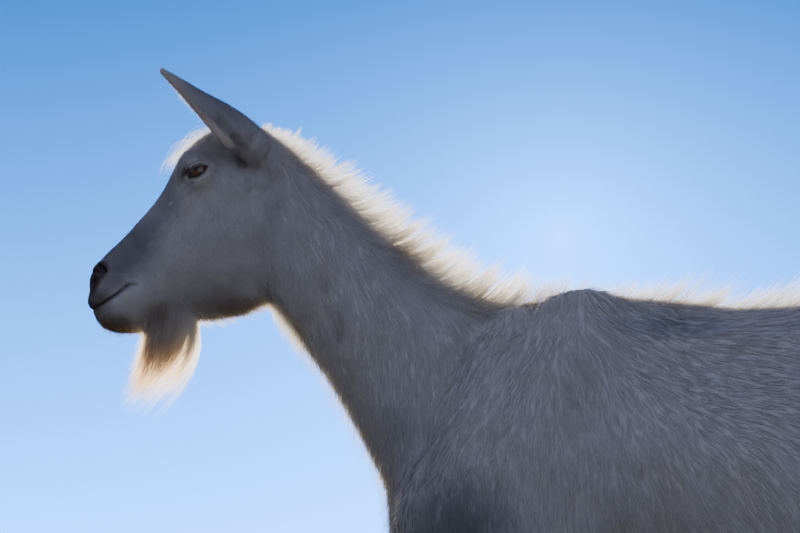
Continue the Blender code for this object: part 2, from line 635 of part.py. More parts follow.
def claws_and_dewclaws(row, word, side, body_shell):
    """The two horn claws that one foot stands on, and the two small ones behind its fetlock."""
    mid_y, foot_out = FEET[row]
    mid_y += STRIDES[f"{row}_{word}"]
    slope = (CORONET_HEEL[1] - CORONET_TOE[1]) / (CORONET_HEEL[0] - CORONET_TOE[0])

    def coronet(along):
        return CORONET_TOE[1] + (along - CORONET_TOE[0]) * slope - JOINT_GAP

    profile = (
        claw_loop(SOLE_HALF_WIDTH - SOLE_CHAMFER, SOLE_TOE + SOLE_CHAMFER, SOLE_HEEL - SOLE_CHAMFER,
                  lambda along: 0.0),
        claw_loop(SOLE_HALF_WIDTH, SOLE_TOE, SOLE_HEEL, lambda along: SOLE_CHAMFER),
        claw_loop(CORONET_HALF_WIDTH, CORONET_TOE[0], CORONET_HEEL[0], coronet),
    )
    for place, outward in (("outer", side), ("inner", -side)):
        loops = [
            [Vector((side * foot_out + outward * out, mid_y + along, z)) for out, along, z in loop]
            for loop in profile
        ]
        claw = bridged("claw", loops)
        finished(claw, f"claw_{row}_{word}_{place}", HORN)
        start, end = (
            Vector((side * foot_out + outward * out, mid_y + along, z))
            for out, along, z in (DEWCLAW_START, DEWCLAW_END)
        )
        spur = tapered("dewclaw", start, end, DEWCLAW_RADII, DEWCLAW_SIDES)
        cut(spur, body_shell)
        finished(largest_piece(spur), f"dewclaw_{row}_{word}_{place}", HORN)


def hair_piece(name, ribs, shells, material=WHITE_COAT):
    """A mass of long hair as one solid, trimmed to sit on what it grows from."""
    made = thinned(loft(name, ribs), HAIR_TRIANGLES[name])
    for shell in shells:
        cut(made, shell)
    finished(largest_piece(made), name, material)


def udder(body_shell):
    """The bag with its two teats, let into the belly between the hind legs."""
    forms = [loft("bag", UDDER_RIBS)]
    for side in (1, -1):
        top, tip = both_sides(TEAT_TOP, side), both_sides(TEAT_TIP, side)
        forms.append(tapered("teat", top, tip, TEAT_RADII, TEAT_SIDES))
    made = joined("udder", forms)
    modifier(made, "REMESH", mode="VOXEL", voxel_size=UDDER_VOXEL, adaptivity=0.0)
    modifier(made, "SMOOTH", factor=0.5, iterations=UDDER_SMOOTH_PASSES)
    thinned(settled(made), UDDER_TRIANGLES)
    cut(made, body_shell)
    finished(largest_piece(made), "udder", PINK_SKIN)


def main():
    for each in list(bpy.data.objects):
        bpy.data.objects.remove(each)
    stand = bpy.data.objects.new("goat", None)
    bpy.context.scene.collection.objects.link(stand)
    stand.location = (0, WITHERS_Y, 0)

    whole = whole_body()
    head = thinned(sliced(whole, "head_form", profile_plane(NAPE_CUT, 1), NAPE_MARGIN), HEAD_TRIANGLES)
    body = thinned(sliced(whole, "body_form", profile_plane(NAPE_CUT, -1), NAPE_MARGIN), BODY_TRIANGLES)
    head_shell = swollen(head, "head_shell")
    body_shell = swollen(body, "body_shell")
    for side, word in ((1, "left"), (-1, "right")):
        ear(word, side, head_shell)
        eye(word, side)
        for row in ("front", "hind"):
            claws_and_dewclaws(row, word, side, body_shell)
    hair_piece("mane", MANE_RIBS, (head_shell, body_shell))
    hair_piece("forelock", FORELOCK_RIBS, (head_shell,))
    hair_piece("beard", BEARD_RIBS, (head_shell,), CREAM_HAIR)
    hair_piece("tail", TAIL_RIBS, (body_shell,))
    udder(body_shell)
    carve_face(head)
    divided(head, body)
    removed(whole, head, body, head_shell, body_shell)


main()
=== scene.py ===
import itertools
import math

import bmesh
import bpy
import numpy as np
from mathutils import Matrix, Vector


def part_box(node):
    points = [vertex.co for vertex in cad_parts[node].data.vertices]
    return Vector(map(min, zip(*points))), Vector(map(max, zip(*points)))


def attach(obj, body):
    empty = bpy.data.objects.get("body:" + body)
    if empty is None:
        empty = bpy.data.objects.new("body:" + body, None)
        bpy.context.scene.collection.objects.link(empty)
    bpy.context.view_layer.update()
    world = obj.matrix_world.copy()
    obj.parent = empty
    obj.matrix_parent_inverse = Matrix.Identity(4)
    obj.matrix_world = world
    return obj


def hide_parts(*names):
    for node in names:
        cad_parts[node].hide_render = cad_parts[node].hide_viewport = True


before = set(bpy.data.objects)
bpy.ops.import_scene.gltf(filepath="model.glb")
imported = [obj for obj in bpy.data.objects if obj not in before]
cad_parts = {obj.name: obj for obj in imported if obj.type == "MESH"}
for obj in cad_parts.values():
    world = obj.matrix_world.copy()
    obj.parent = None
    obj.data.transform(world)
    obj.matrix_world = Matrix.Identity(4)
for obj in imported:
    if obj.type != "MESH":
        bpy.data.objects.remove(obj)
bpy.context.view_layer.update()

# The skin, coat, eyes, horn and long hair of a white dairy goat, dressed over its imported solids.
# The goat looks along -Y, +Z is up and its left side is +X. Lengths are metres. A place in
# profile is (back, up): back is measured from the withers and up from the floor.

WITHERS_Y = -0.0785  # where the withers stand along Y
SIDES = (("left", 1), ("right", -1))

# --- the skin ---------------------------------------------------------------------------------
SKIN_VOXEL = 0.0023
SEAM_FILL = 0.0005  # how far each flesh solid grows so that the thin cuts between them close
FLESH_NODES = (
    "head", "neck", "trunk", "udder", "ear_left", "ear_right",
    "leg_front_left", "leg_front_right", "leg_hind_left", "leg_hind_right",
)
EAR_FILL = 0.0013  # how much fuller than their solids the ears are cast
TAIL_CORE_INSET = 0.0085  # how far inside its solid, which is mostly hair, the tail's flesh lies
TAIL_CORE_TOP = 0.742  # the tail's flesh stays below this, inside the rump
TAIL_ROOT = (0.5980, 0.7385, 0.0)  # a ball of flesh that joins the tail to the rump
TAIL_ROOT_RADII = (0.0125, 0.0240, 0.0120)
SOCKET_FILL = 1.02  # of the solid eyes, cast with the skin
EAR_FOLD_SHARE = 0.34  # where along the ear its lower fold is filled
EAR_FOLD_SHIFT = (0.0185, 0.0, -0.0070)
EAR_FOLD_RADII = (0.0026, 0.0120, 0.0085)
CORONET_HALF_HEIGHT = 0.0120
CORONET_DROP = 0.010  # how far below the claws' tops the coronet's middle lies
BODY_SMOOTHING = 46  # rounds
WEIGHT_STEPS = 20
SKIN_BUDGET = 130000  # triangles before the face is refined
FAR_OFF = 9.0  # farther than any two places on the goat

# Balls of flesh on both sides: what each makes, its place as (back, up, out), and its radii.
FILLERS = (
    ("wing of the nostril", (-0.4885, 0.8130, 0.0170), (0.0075, 0.0085, 0.0095)),
    ("top of the shoulder blade", (0.0080, 0.7700, 0.0220), (0.0200, 0.0540, 0.0335)),
)

# How deep the coat is over each part, and how much thinner it is on the muzzle.
BODY_COAT, LEG_COAT, HEAD_COAT, MUZZLE_THINNER = 0.0048, 0.0024, 0.0016, 0.0010
LEG_TOP = 0.45  # height where the legs' thinner coat begins
FOOT_TOP = 0.14  # height below which the skin is smoothed less

# Lines in profile: head lies before the nape, and neck lies before the shoulder.
NAPE = ((-0.303, 0.953), (-0.323, 0.778))
SHOULDER = ((-0.058, 0.790), (-0.187, 0.580))

# The ears' roots and tips as (out, back, up).
EAR_BASE = (0.0430, -0.3220, 0.9370)
EAR_OPENS = (-0.15, -0.62, -0.78)  # which way the left ear's opening faces
EAR_TIPS = {"left": (0.1120, -0.4195, 1.0125), "right": (0.1080, -0.3980, 1.0170)}
EAR_REACH = 0.045  # how far from its axis a place may lie and still be ear
# Shares of the ear's length, and how far off its axis the brown inner side begins there.
EAR_EDGE = ((0.05, 0.25, 0.5, 0.8, 1.0), (0.012, 0.0085, 0.0060, 0.0025, 0.0))

# Folds and swellings on both sides, as lines in profile: places, half-width, and how far out.
FORMS = (
    (
        "shoulder's front edge",
        ((-0.072, 0.792), (-0.106, 0.757), (-0.135, 0.716), (-0.150, 0.668), (-0.158, 0.612)),
        0.012,
        -0.0045,
    ),
    (
        "shoulder muscle",
        ((-0.040, 0.785), (-0.078, 0.745), (-0.105, 0.700), (-0.122, 0.650)),
        0.020,
        0.0050,
    ),
    ("hollow behind the withers", ((0.065, 0.775), (0.105, 0.768), (0.140, 0.775)), 0.022, -0.0060),
    ("shoulder blade", ((0.005, 0.790), (-0.010, 0.740), (-0.035, 0.690)), 0.026, 0.0040),
    ("elbow crease", ((0.055, 0.600), (0.050, 0.540), (0.035, 0.480)), 0.016, -0.0050),
    ("dimple in the neck", ((-0.256, 0.800), (-0.246, 0.768), (-0.238, 0.745)), 0.0075, -0.0035),
    ("windpipe groove", ((-0.285, 0.800), (-0.235, 0.700), (-0.200, 0.620)), 0.014, -0.0025),
    (
        "fold below the ear",
        ((-0.360, 0.962), (-0.344, 0.938), (-0.333, 0.915), (-0.331, 0.900)),
        0.0050,
        -0.0042,
    ),
    ("ear muscle", ((-0.330, 0.952), (-0.316, 0.925)), 0.010, 0.0030),
    ("cheek's back edge", ((-0.323, 0.880), (-0.319, 0.833), (-0.331, 0.795)), 0.011, 0.0026),
    ("behind the cheek", ((-0.302, 0.880), (-0.300, 0.830), (-0.310, 0.795)), 0.010, -0.0026),
    ("jaw edge", ((-0.331, 0.788), (-0.372, 0.778), (-0.418, 0.772)), 0.007, 0.0016),
    ("face crest", ((-0.384, 0.903), (-0.417, 0.867), (-0.438, 0.841)), 0.008, 0.0018),
    ("tear groove", ((-0.3985, 0.9160), (-0.4065, 0.9050), (-0.4145, 0.8900)), 0.0032, -0.0020),
    ("nose side hollow", ((-0.432, 0.880), (-0.455, 0.850)), 0.009, -0.0018),
    ("muzzle crease", ((-0.4800, 0.8180), (-0.4650, 0.8165), (-0.4520, 0.8090)), 0.0034, -0.0009),
    ("upper lip", ((-0.4930, 0.7885), (-0.4780, 0.7960), (-0.4630, 0.8040)), 0.0056, 0.0008),
    ("lower lip", ((-0.4920, 0.7700), (-0.4770, 0.7770), (-0.4620, 0.7870)), 0.0045, 0.0010),
    ("flank hollow", ((0.395, 0.700), (0.385, 0.650), (0.360, 0.600)), 0.030, -0.0075),
    ("hip bone", ((0.425, 0.768), (0.432, 0.752)), 0.016, 0.0060),
    ("pin bone", ((0.596, 0.722), (0.600, 0.712)), 0.013, 0.0050),
    ("thigh crease", ((0.590, 0.650), (0.585, 0.560), (0.570, 0.480)), 0.014, -0.0040),
    ("hock hollow", ((0.572, 0.350), (0.580, 0.315)), 0.008, -0.0030),
    ("foreleg tendon", ((-0.046, 0.230), (-0.047, 0.180), (-0.046, 0.140)), 0.0045, -0.0018),
    ("hind tendon", ((0.575, 0.240), (0.566, 0.190), (0.564, 0.150)), 0.0045, -0.0018),
)

# --- the eyes ---------------------------------------------------------------------------------
EYE_AXIS = (0.945, -0.320, 0.050)  # where the left eye looks
EYEBALL_SHARE = 0.97  # of the solid eye's radius
GAZE_RISE = 0.0022  # how far above the eye's middle the pupil stands
LID_TILT = 24  # degrees that the front corner lies lower
LID_HALF_LENGTH = 0.0101
LID_HALF_HEIGHTS = (0.0047, 0.0045)  # above and below the line through the corners
LID_CORNERS = (0.95, 0.62)  # how sharp the front and back corners are
LID_STAND = 0.0010  # how far the lids stand off the eyeball
UPPER_LID_THICKER = 0.0006
BEHIND_EYE = 0.0032  # how far the skin passes behind the eyeball's front
# Folds round each eye: name, whether over it, how far out, distance from the edge, half-width.
LID_FOLDS = (
    ("upper fold", True, -0.0020, 0.0040, 0.0012),
    ("brow", True, 0.0012, 0.0085, 0.0030),
    ("lower fold", False, -0.0007, 0.0036, 0.0012),
)
RIM_STEPS, RIM_SIDES = 96, 10  # round the opening, and round the rim itself
RIM_STAND = 0.0006  # how far the rims' middles stand off the eyeball
CORNEA_SPREAD = 0.62  # radians
CORNEA_RISE = 0.0008

# --- nose and mouth ---------------------------------------------------------------------------
TEAR_LINE = ((-0.3950, 0.9195), (-0.3985, 0.9165), (-0.4030, 0.9130))
NOSTRIL_LINE = ((-0.4835, 0.8175), (-0.4885, 0.8215), (-0.4930, 0.8160), (-0.4950, 0.8065))
NOSE_LINE = ((-0.4880, 0.8205), (-0.4935, 0.8150), (-0.4985, 0.8050), (-0.5000, 0.8000))
NOSTRIL_WIDTH = 0.0034
NOSTRIL_DEPTH = 0.0095
NOSTRIL_RIM = 0.0012  # how far the rim stands out
MOUTH_LINE = (
    (-0.5010, 0.7765), (-0.4860, 0.7835), (-0.4700, 0.7935), (-0.4575, 0.8035), (-0.4500, 0.8040),
)
MOUTH_WIDTH = 0.0010
MOUTH_DEPTH = 0.0024


# === small tools ==============================================================================


def at(back, up, out=0.0):
    """A place given from the withers, in the frame's own coordinates."""
    return np.array((out, back + WITHERS_Y, up))


def unit(vectors):
    """The same ways, each made one long."""
    vectors = np.asarray(vectors, float)
    return vectors / np.maximum(np.linalg.norm(vectors, axis=-1, keepdims=True), 1e-12)


def dots(first, second):
    """How far two sets of ways agree, row by row."""
    return np.sum(first * second, axis=-1)


def smooth_step(value, low, high):
    """0 below low to 1 above high, eased at both ends."""
    share = np.clip((value - low) / (high - low), 0, 1)
    return share * share * (3 - 2 * share)


def hashed(cells, salt):
    """An even spread of numbers from 0 to 1, one for each whole-number cell."""
    mixed = cells.astype(np.int64) @ np.array((73856093, 19349663, 83492791)) + salt * 7919
    mixed = (mixed ^ (mixed >> 13)) * 1274126177 & 0x7FFFFFFF
    return ((mixed ^ (mixed >> 16)) & 0xFFFFF) / 0xFFFFF


def soft_noise(points, size, salt=0):
    """Smooth noise from 0 to 1 whose features are about one size across."""
    grid = points / size
    cells = np.floor(grid)
    share = grid - cells
    share = share * share * (3 - 2 * share)
    total = np.zeros(len(points))
    for corner in itertools.product((0, 1), repeat=3):
        weight = np.prod(np.where(np.array(corner) > 0, share, 1 - share), axis=1)
        total += weight * hashed(cells + corner, salt)
    return total


def rows_of(items, key):
    """Three numbers kept with each item of a mesh, as rows."""
    flat = np.empty(len(items) * 3, np.float32)
    items.foreach_get(key, flat)
    return flat.reshape(-1, 3).astype(float)


def points_of(data):
    """A mesh's vertices, one row for each."""
    return rows_of(data.vertices, "co")


def normals_of(data):
    """A mesh's normals, one row for each vertex."""
    return rows_of(data.vertex_normals, "vector")


def set_points(data, points):
    """Puts a mesh's vertices where the rows of points say."""
    data.vertices.foreach_set("co", np.ascontiguousarray(points, np.float32).ravel())
    data.update()


def set_numbers(data, name, values):
    """One number for each vertex, kept as an attribute for the materials."""
    layer = data.attributes.get(name) or data.attributes.new(name, "FLOAT", "POINT")
    layer.data.foreach_set("value", np.ascontiguousarray(values, np.float32))


def only(target):
    """Selects one object and makes it the active one."""
    bpy.ops.object.select_all(action="DESELECT")
    target.select_set(True)
    bpy.context.view_layer.objects.active = target
    return target


def applied(target, kind, **settings):
    """Adds a modifier by its kind and applies it at once."""
    only(target)
    added = target.modifiers.new(kind.lower(), kind)
    for key, value in settings.items():
        setattr(added, key, value)
    bpy.ops.object.modifier_apply(modifier=added.name)
    return target


def copy_of(node, name):
    """A solid's own mesh as a new object, with its loose triangles merged."""
    made = bpy.data.objects.new(name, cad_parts[node].data.copy())
    made.data.materials.clear()
    bpy.context.scene.collection.objects.link(made)
    only(made)
    bpy.ops.object.mode_set(mode="EDIT")
    bpy.ops.mesh.select_all(action="SELECT")
    bpy.ops.mesh.remove_doubles(threshold=0.00001)
    bpy.ops.object.mode_set(mode="OBJECT")
    return made


def ball(centre, radii, segments=32):
    """A sphere stretched to its three radii, with its place in its mesh."""
    bpy.ops.object.select_all(action="DESELECT")
    bpy.ops.mesh.primitive_uv_sphere_add(
        segments=segments, ring_count=segments // 2, radius=1, location=centre, scale=radii
    )
    bpy.ops.object.transform_apply(location=True, rotation=True, scale=True)
    return bpy.context.object


def joined(pieces, name):
    """Several objects made one, under one name."""
    bpy.ops.object.select_all(action="DESELECT")
    for piece in pieces:
        piece.select_set(True)
    bpy.context.view_layer.objects.active = pieces[0]
    bpy.ops.object.join()
    pieces[0].name = name
    pieces[0].data.name = name
    return pieces[0]


def told(piece, material, slot, *nodes):
    """Gives a piece its material and says what it rides on and what it replaces; its slot is not
    used.
    """
    piece.data.materials.clear()
    piece.data.materials.append(material)
    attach(piece, "root")
    if nodes:
        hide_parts(*nodes)
    return piece


# === where things are on the goat =============================================================


def past_line(points, line):
    """How far points lie before a line in profile, on its nose side."""
    (y0, z0), (y1, z1) = line
    along = np.array((y1 - y0, z1 - z0))
    along /= np.linalg.norm(along)
    return (points[:, 1] - WITHERS_Y - y0) * along[1] - (points[:, 2] - z0) * along[0]


def line_gap(points, line):
    """Distance in profile from points to a broken line, and the share of the way along it."""
    flat = points[:, 1:] - (WITHERS_Y, 0)
    places = np.asarray(line, float)
    best = np.full(len(points), FAR_OFF)
    share = np.zeros(len(points))
    for k, (first, second) in enumerate(zip(places, places[1:])):
        run = second - first
        along = np.clip((flat - first) @ run / (run @ run), 0, 1)
        gap = np.linalg.norm(flat - first - along[:, None] * run, axis=1)
        nearer = gap < best
        best[nearer] = gap[nearer]
        share[nearer] = (k + along[nearer]) / (len(places) - 1)
    return best, share


def ear_spot(word, side, share):
    """A place on an ear's axis, 0 at its root and 1 at its tip."""
    base = at(EAR_BASE[1], EAR_BASE[2], side * EAR_BASE[0])
    tip = at(EAR_TIPS[word][1], EAR_TIPS[word][2], side * EAR_TIPS[word][0])
    return base + (tip - base) * share


def along_ear(points, word, side):
    """The share of the way along one ear, how far off its axis each place lies, and the axis."""
    base = ear_spot(word, side, 0)
    axis = ear_spot(word, side, 1) - base
    share = (points - base) @ axis / (axis @ axis)
    return share, points - base - share[:, None] * axis, axis


def ear_place(points):
    """0 at the nearer ear's root to 1 at its tip, how far from its axis, and the axis."""
    best_share = np.full(len(points), -1.0)
    best_gap = np.full(len(points), FAR_OFF)
    best_axis = np.zeros((len(points), 3))
    for word, side in SIDES:
        share, off, axis = along_ear(points, word, side)
        gap = np.linalg.norm(off, axis=1)
        nearer = gap < best_gap
        best_share[nearer] = share[nearer]
        best_gap[nearer] = gap[nearer]
        best_axis[nearer] = unit(axis)
    return best_share, best_gap, best_axis


def ear_mask(points, low=0.12, high=0.30):
    """0 on the head to 1 on the ears, from the share low to the share high of their length."""
    share, gap, _ = ear_place(points)
    return smooth_step(share, low, high) * (gap < EAR_REACH)


def coat_depth(points):
    """How deep under the coat's tips the skin lies."""
    head = smooth_step(past_line(points, NAPE), -0.02, 0.03)
    muzzle = smooth_step(-(points[:, 1] - WITHERS_Y), 0.43, 0.49)
    low = smooth_step(LEG_TOP - points[:, 2], 0.0, 0.12)
    body = BODY_COAT * (1 - low) + LEG_COAT * low
    depth = body * (1 - head) + head * (HEAD_COAT - MUZZLE_THINNER * muzzle)
    return depth * (1 - ear_mask(points))


# === the skin =================================================================================


def weight_group(target, name, weights):
    """A vertex group holding one weight for each vertex, in even steps."""
    group = target.vertex_groups.new(name=name)
    steps = np.round(np.clip(weights, 0, 1) * WEIGHT_STEPS).astype(int)
    for step in range(1, WEIGHT_STEPS + 1):
        members = np.nonzero(steps == step)[0].tolist()
        if members:
            group.add(members, step / WEIGHT_STEPS, "REPLACE")
    return name


def coronet(row, word):
    """Flesh round the top of one foot's two claws, so that the horn grows out of the skin."""
    inner, outer = (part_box(f"claw_{row}_{word}_{which}") for which in ("inner", "outer"))
    low, high = np.minimum(inner[0], outer[0]), np.maximum(inner[1], outer[1])
    half = (high - low) / 2
    across, along = ((low + high) / 2 + (0, 0.3 * half[1], 0))[:2]
    radii = (half[0] * 0.84, half[1] * 0.50, CORONET_HALF_HEIGHT)
    return ball((across, along, high[2] - CORONET_DROP), radii)


def flesh_pieces():
    """Every solid and ball of flesh that the skin is cast over."""
    pieces = [copy_of(name, "cast") for name in FLESH_NODES]
    for name, piece in zip(FLESH_NODES, pieces):
        if name.startswith("ear"):
            applied(piece, "DISPLACE", strength=EAR_FILL, mid_level=0.0)
    core = applied(copy_of("tail", "cast"), "DISPLACE", strength=-TAIL_CORE_INSET, mid_level=0.0)
    points = points_of(core.data)
    points[:, 2] = np.minimum(points[:, 2], TAIL_CORE_TOP)
    set_points(core.data, points)
    pieces.append(core)
    pieces.append(ball(at(*TAIL_ROOT), TAIL_ROOT_RADII))
    for word, _ in SIDES:
        low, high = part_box("eye_" + word)
        pieces.append(ball((low + high) / 2, (high - low) / 2 * SOCKET_FILL))
    for word, side in SIDES:
        for _, (back, up, out), radii in FILLERS:
            pieces.append(ball(at(back, up, side * out), radii))
        fold = ear_spot(word, side, EAR_FOLD_SHARE) + np.array(EAR_FOLD_SHIFT) * (side, 1, 1)
        pieces.append(ball(fold, EAR_FOLD_RADII))
        for row in ("front", "hind"):
            pieces.append(coronet(row, word))
    return pieces


def cast_skin():
    """One closed skin over all the flesh, inside its solids by the coat's depth."""
    skin = joined(flesh_pieces(), "goat_skin")
    applied(skin, "DISPLACE", strength=SEAM_FILL, mid_level=0.0)
    applied(skin, "REMESH", mode="VOXEL", voxel_size=SKIN_VOXEL, adaptivity=0.0)
    points = points_of(skin.data)
    ear = ear_mask(points, 0.06, 0.10)
    head = smooth_step(past_line(points, NAPE), -0.01, 0.03)
    foot = smooth_step(FOOT_TOP - points[:, 2], 0.0, 0.06)
    soft = (1 - 0.85 * head) * (1 - 0.7 * foot) * (1 - ear) + 0.04 * ear
    group = weight_group(skin, "soft", soft)
    applied(skin, "SMOOTH", factor=0.5, iterations=BODY_SMOOTHING, vertex_group=group)
    points = points_of(skin.data)
    set_points(skin.data, points - normals_of(skin.data) * coat_depth(points)[:, None])
    keep = np.maximum(smooth_step(past_line(points, NAPE), -0.035, -0.015), ear)
    group = weight_group(skin, "loose", 1 - keep)
    skin.data.calc_loop_triangles()
    ratio = SKIN_BUDGET / len(skin.data.loop_triangles)
    applied(skin, "DECIMATE", ratio=ratio, vertex_group=group, use_collapse_triangulate=True)
    skin.vertex_groups.clear()
    return skin


def refine(skin, wanted):
    """Splits each triangle whose corners wanted() picks into four."""
    mesh = bmesh.new()
    mesh.from_mesh(skin.data)
    mesh.verts.ensure_lookup_table()
    chosen = wanted(points_of(skin.data))
    edges = [edge for edge in mesh.edges if all(chosen[end.index] for end in edge.verts)]
    bmesh.ops.subdivide_edges(mesh, edges=edges, cuts=1, use_grid_fill=True)
    bmesh.ops.triangulate(mesh, faces=[face for face in mesh.faces if len(face.verts) > 3])
    mesh.to_mesh(skin.data)
    mesh.free()


def eye_frame(side):
    """An eye's centre and radius, and its own axes: back along the lids, up, and outwards."""
    low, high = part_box("eye_left" if side > 0 else "eye_right")
    centre = np.array((low + high) / 2)
    radius = max(high - low) / 2 * EYEBALL_SHARE
    outwards = unit((side * EYE_AXIS[0], EYE_AXIS[1], EYE_AXIS[2]))
    tilt = math.radians(LID_TILT)
    back = np.array((0, math.cos(tilt), math.sin(tilt)))
    back = unit(back - outwards * (back @ outwards))
    upwards = np.cross(outwards, back) * side
    return centre, radius, back, upwards * np.sign(upwards[2]), outwards


def lid_height(along, upper):
    """How far a lid's edge lies from the line through the corners, the front one the sharper."""
    share = np.clip(along / LID_HALF_LENGTH, -1, 1)
    power = np.where(share < 0, *LID_CORNERS)
    return np.where(upper, *LID_HALF_HEIGHTS) * (1 - share**2) ** power


def lid_gap(along, rise):
    """Distance outside the opening between the lids, negative within it."""
    beyond = np.maximum(np.abs(along) - LID_HALF_LENGTH, 0)
    above = np.abs(rise) - lid_height(along, rise > 0)
    return np.where(beyond > 0, np.hypot(beyond, np.maximum(above, 0)), above)


def sculpt_eyes(points):
    """Lids that follow the eyeball, with their folds and brow; the skin passes behind the eye."""
    for _, side in SIDES:
        centre, radius, back, upwards, outwards = eye_frame(side)
        local = points - centre
        along, rise, out = local @ back, local @ upwards, local @ outwards
        near = (np.hypot(along, rise) < 0.030) & (out > -0.004)
        along, rise, out = along[near], rise[near], out[near]
        gap = lid_gap(along, rise)
        globe = np.sqrt(np.maximum(radius**2 - along**2 - rise**2, (0.35 * radius) ** 2))
        lid = globe + LID_STAND + UPPER_LID_THICKER * (rise > 0)
        hold = 1 - smooth_step(gap, 0.0012, 0.0110)
        made = out * (1 - hold) + np.maximum(lid, out * 0.55 + lid * 0.45) * hold
        above = smooth_step(rise, -0.002, 0.003)
        for _, over_eye, lift, distance, width in LID_FOLDS:
            share = above if over_eye else 1 - above
            made += lift * share * np.exp(-(((gap - distance) / width) ** 2))
        made = np.where(gap < -0.0002, np.minimum(made, globe - BEHIND_EYE), made)
        points[near] += outwards * (made - out)[:, None]
    return points


def sculpt_face(points, normals):
    """Nostrils with their rims, and the line of the mouth."""
    front = -(points[:, 1] - WITHERS_Y)
    gap, share = line_gap(points, NOSTRIL_LINE)
    side = np.sign(points[:, 0])
    outer = smooth_step(np.abs(points[:, 0]), 0.0055, 0.0095) * (front > 0.45)
    width = NOSTRIL_WIDTH * (0.75 + 0.45 * np.sin(np.pi * np.clip(share, 0, 1)))
    pit = (1 - smooth_step(gap, width * 0.55, width * 1.15)) * outer
    rim = np.exp(-(((gap - width * 1.7) / 0.0022) ** 2)) * outer
    inwards = np.stack((-side * 0.80, np.full(len(points), 0.60), np.zeros(len(points))), axis=1)
    points = points + inwards * (pit * NOSTRIL_DEPTH)[:, None]
    points = points + normals * (rim * NOSTRIL_RIM)[:, None]
    gap, share = line_gap(points, MOUTH_LINE)
    fading = 1 - 0.6 * smooth_step(share, 0.8, 1)
    groove = np.exp(-((gap / MOUTH_WIDTH) ** 2)) * (front > 0.44) * fading
    return points - normals * (groove * MOUTH_DEPTH)[:, None]


def sculpt_forms(points, normals):
    """The folds and swellings of the muscles and bones under the skin."""
    for _, line, width, lift in FORMS:
        gap, _ = line_gap(points, line)
        facing = smooth_step(np.abs(normals[:, 0]), 0.25, 0.75)
        points = points + normals * (lift * np.exp(-((gap / width) ** 2)) * facing)[:, None]
    return points


def bare_skin(points):
    """1 where dark moist skin shows: nose, nostrils, lips' edges and the rims of the eyes."""
    front = -(points[:, 1] - WITHERS_Y)
    gap, _ = line_gap(points, NOSE_LINE)
    nose = (1 - smooth_step(gap, 0.0064, 0.0125)) * (front > 0.468)
    gap, share = line_gap(points, MOUTH_LINE)
    lips = (1 - smooth_step(gap, 0.0009, 0.0032)) * (front > 0.446) * (1.0 - 0.4 * share)
    rims = np.zeros(len(points))
    tear_gap, tear_share = line_gap(points, TEAR_LINE)
    tear = (1 - smooth_step(tear_gap, 0.0006, 0.0022)) * (0.95 - 0.5 * tear_share)
    for _, side in SIDES:
        centre, _, back, upwards, outwards = eye_frame(side)
        local = points - centre
        gap = lid_gap(local @ back, local @ upwards)
        near = (local @ outwards > 0) & (np.linalg.norm(local, axis=1) < 0.028)
        corner = smooth_step(-(local @ back), 0.006, 0.012)
        rim = 1 - smooth_step(gap, 0.0010, 0.0030 + 0.0022 * corner)
        rims = np.maximum.reduce((rims, near * rim, near * tear))
    return np.maximum.reduce((nose, lips, rims))


def ear_inside(points):
    """1 on the brown inner side and lower edge of the ears, 0 elsewhere."""
    inside = np.zeros(len(points))
    for word, side in SIDES:
        share, off, axis = along_ear(points, word, side)
        opens = unit(np.array((side * EAR_OPENS[0], EAR_OPENS[1], EAR_OPENS[2])))
        opens = unit(opens - unit(axis) * (opens @ unit(axis)))
        near = (np.linalg.norm(off, axis=1) < 0.027) & (share > 0.05)
        near &= points[:, 0] * side > 0.036
        deep = off @ opens - np.interp(share, *EAR_EDGE)
        rooted = smooth_step(share, 0.20, 0.32)
        inside = np.maximum(inside, near * smooth_step(deep, -0.0012, 0.0012) * rooted)
    return inside


def make_skin():
    """The cast skin with its face, muscles and eyelids, and its bare and inner places marked."""
    skin = cast_skin()
    eyes = [eye_frame(side)[0] for _, side in SIDES]
    nose = [at(-0.487, 0.805, side * 0.016) for _, side in SIDES]

    def close_to(places, reach):
        def chosen(points):
            gaps = [np.linalg.norm(points - place, axis=1) for place in places]
            return np.any([gap < reach for gap in gaps], axis=0)

        return chosen

    refine(skin, close_to(eyes + nose, 0.027))
    refine(skin, close_to(eyes, 0.019))
    points = sculpt_forms(points_of(skin.data), normals_of(skin.data))
    set_points(skin.data, points)
    points = sculpt_face(points, normals_of(skin.data))
    set_points(skin.data, sculpt_eyes(points))
    skin.data.shade_smooth()
    set_numbers(skin.data, "bare", bare_skin(points_of(skin.data)))
    set_numbers(skin.data, "ear_inside", ear_inside(points_of(skin.data)))
    return skin


# === materials ================================================================================


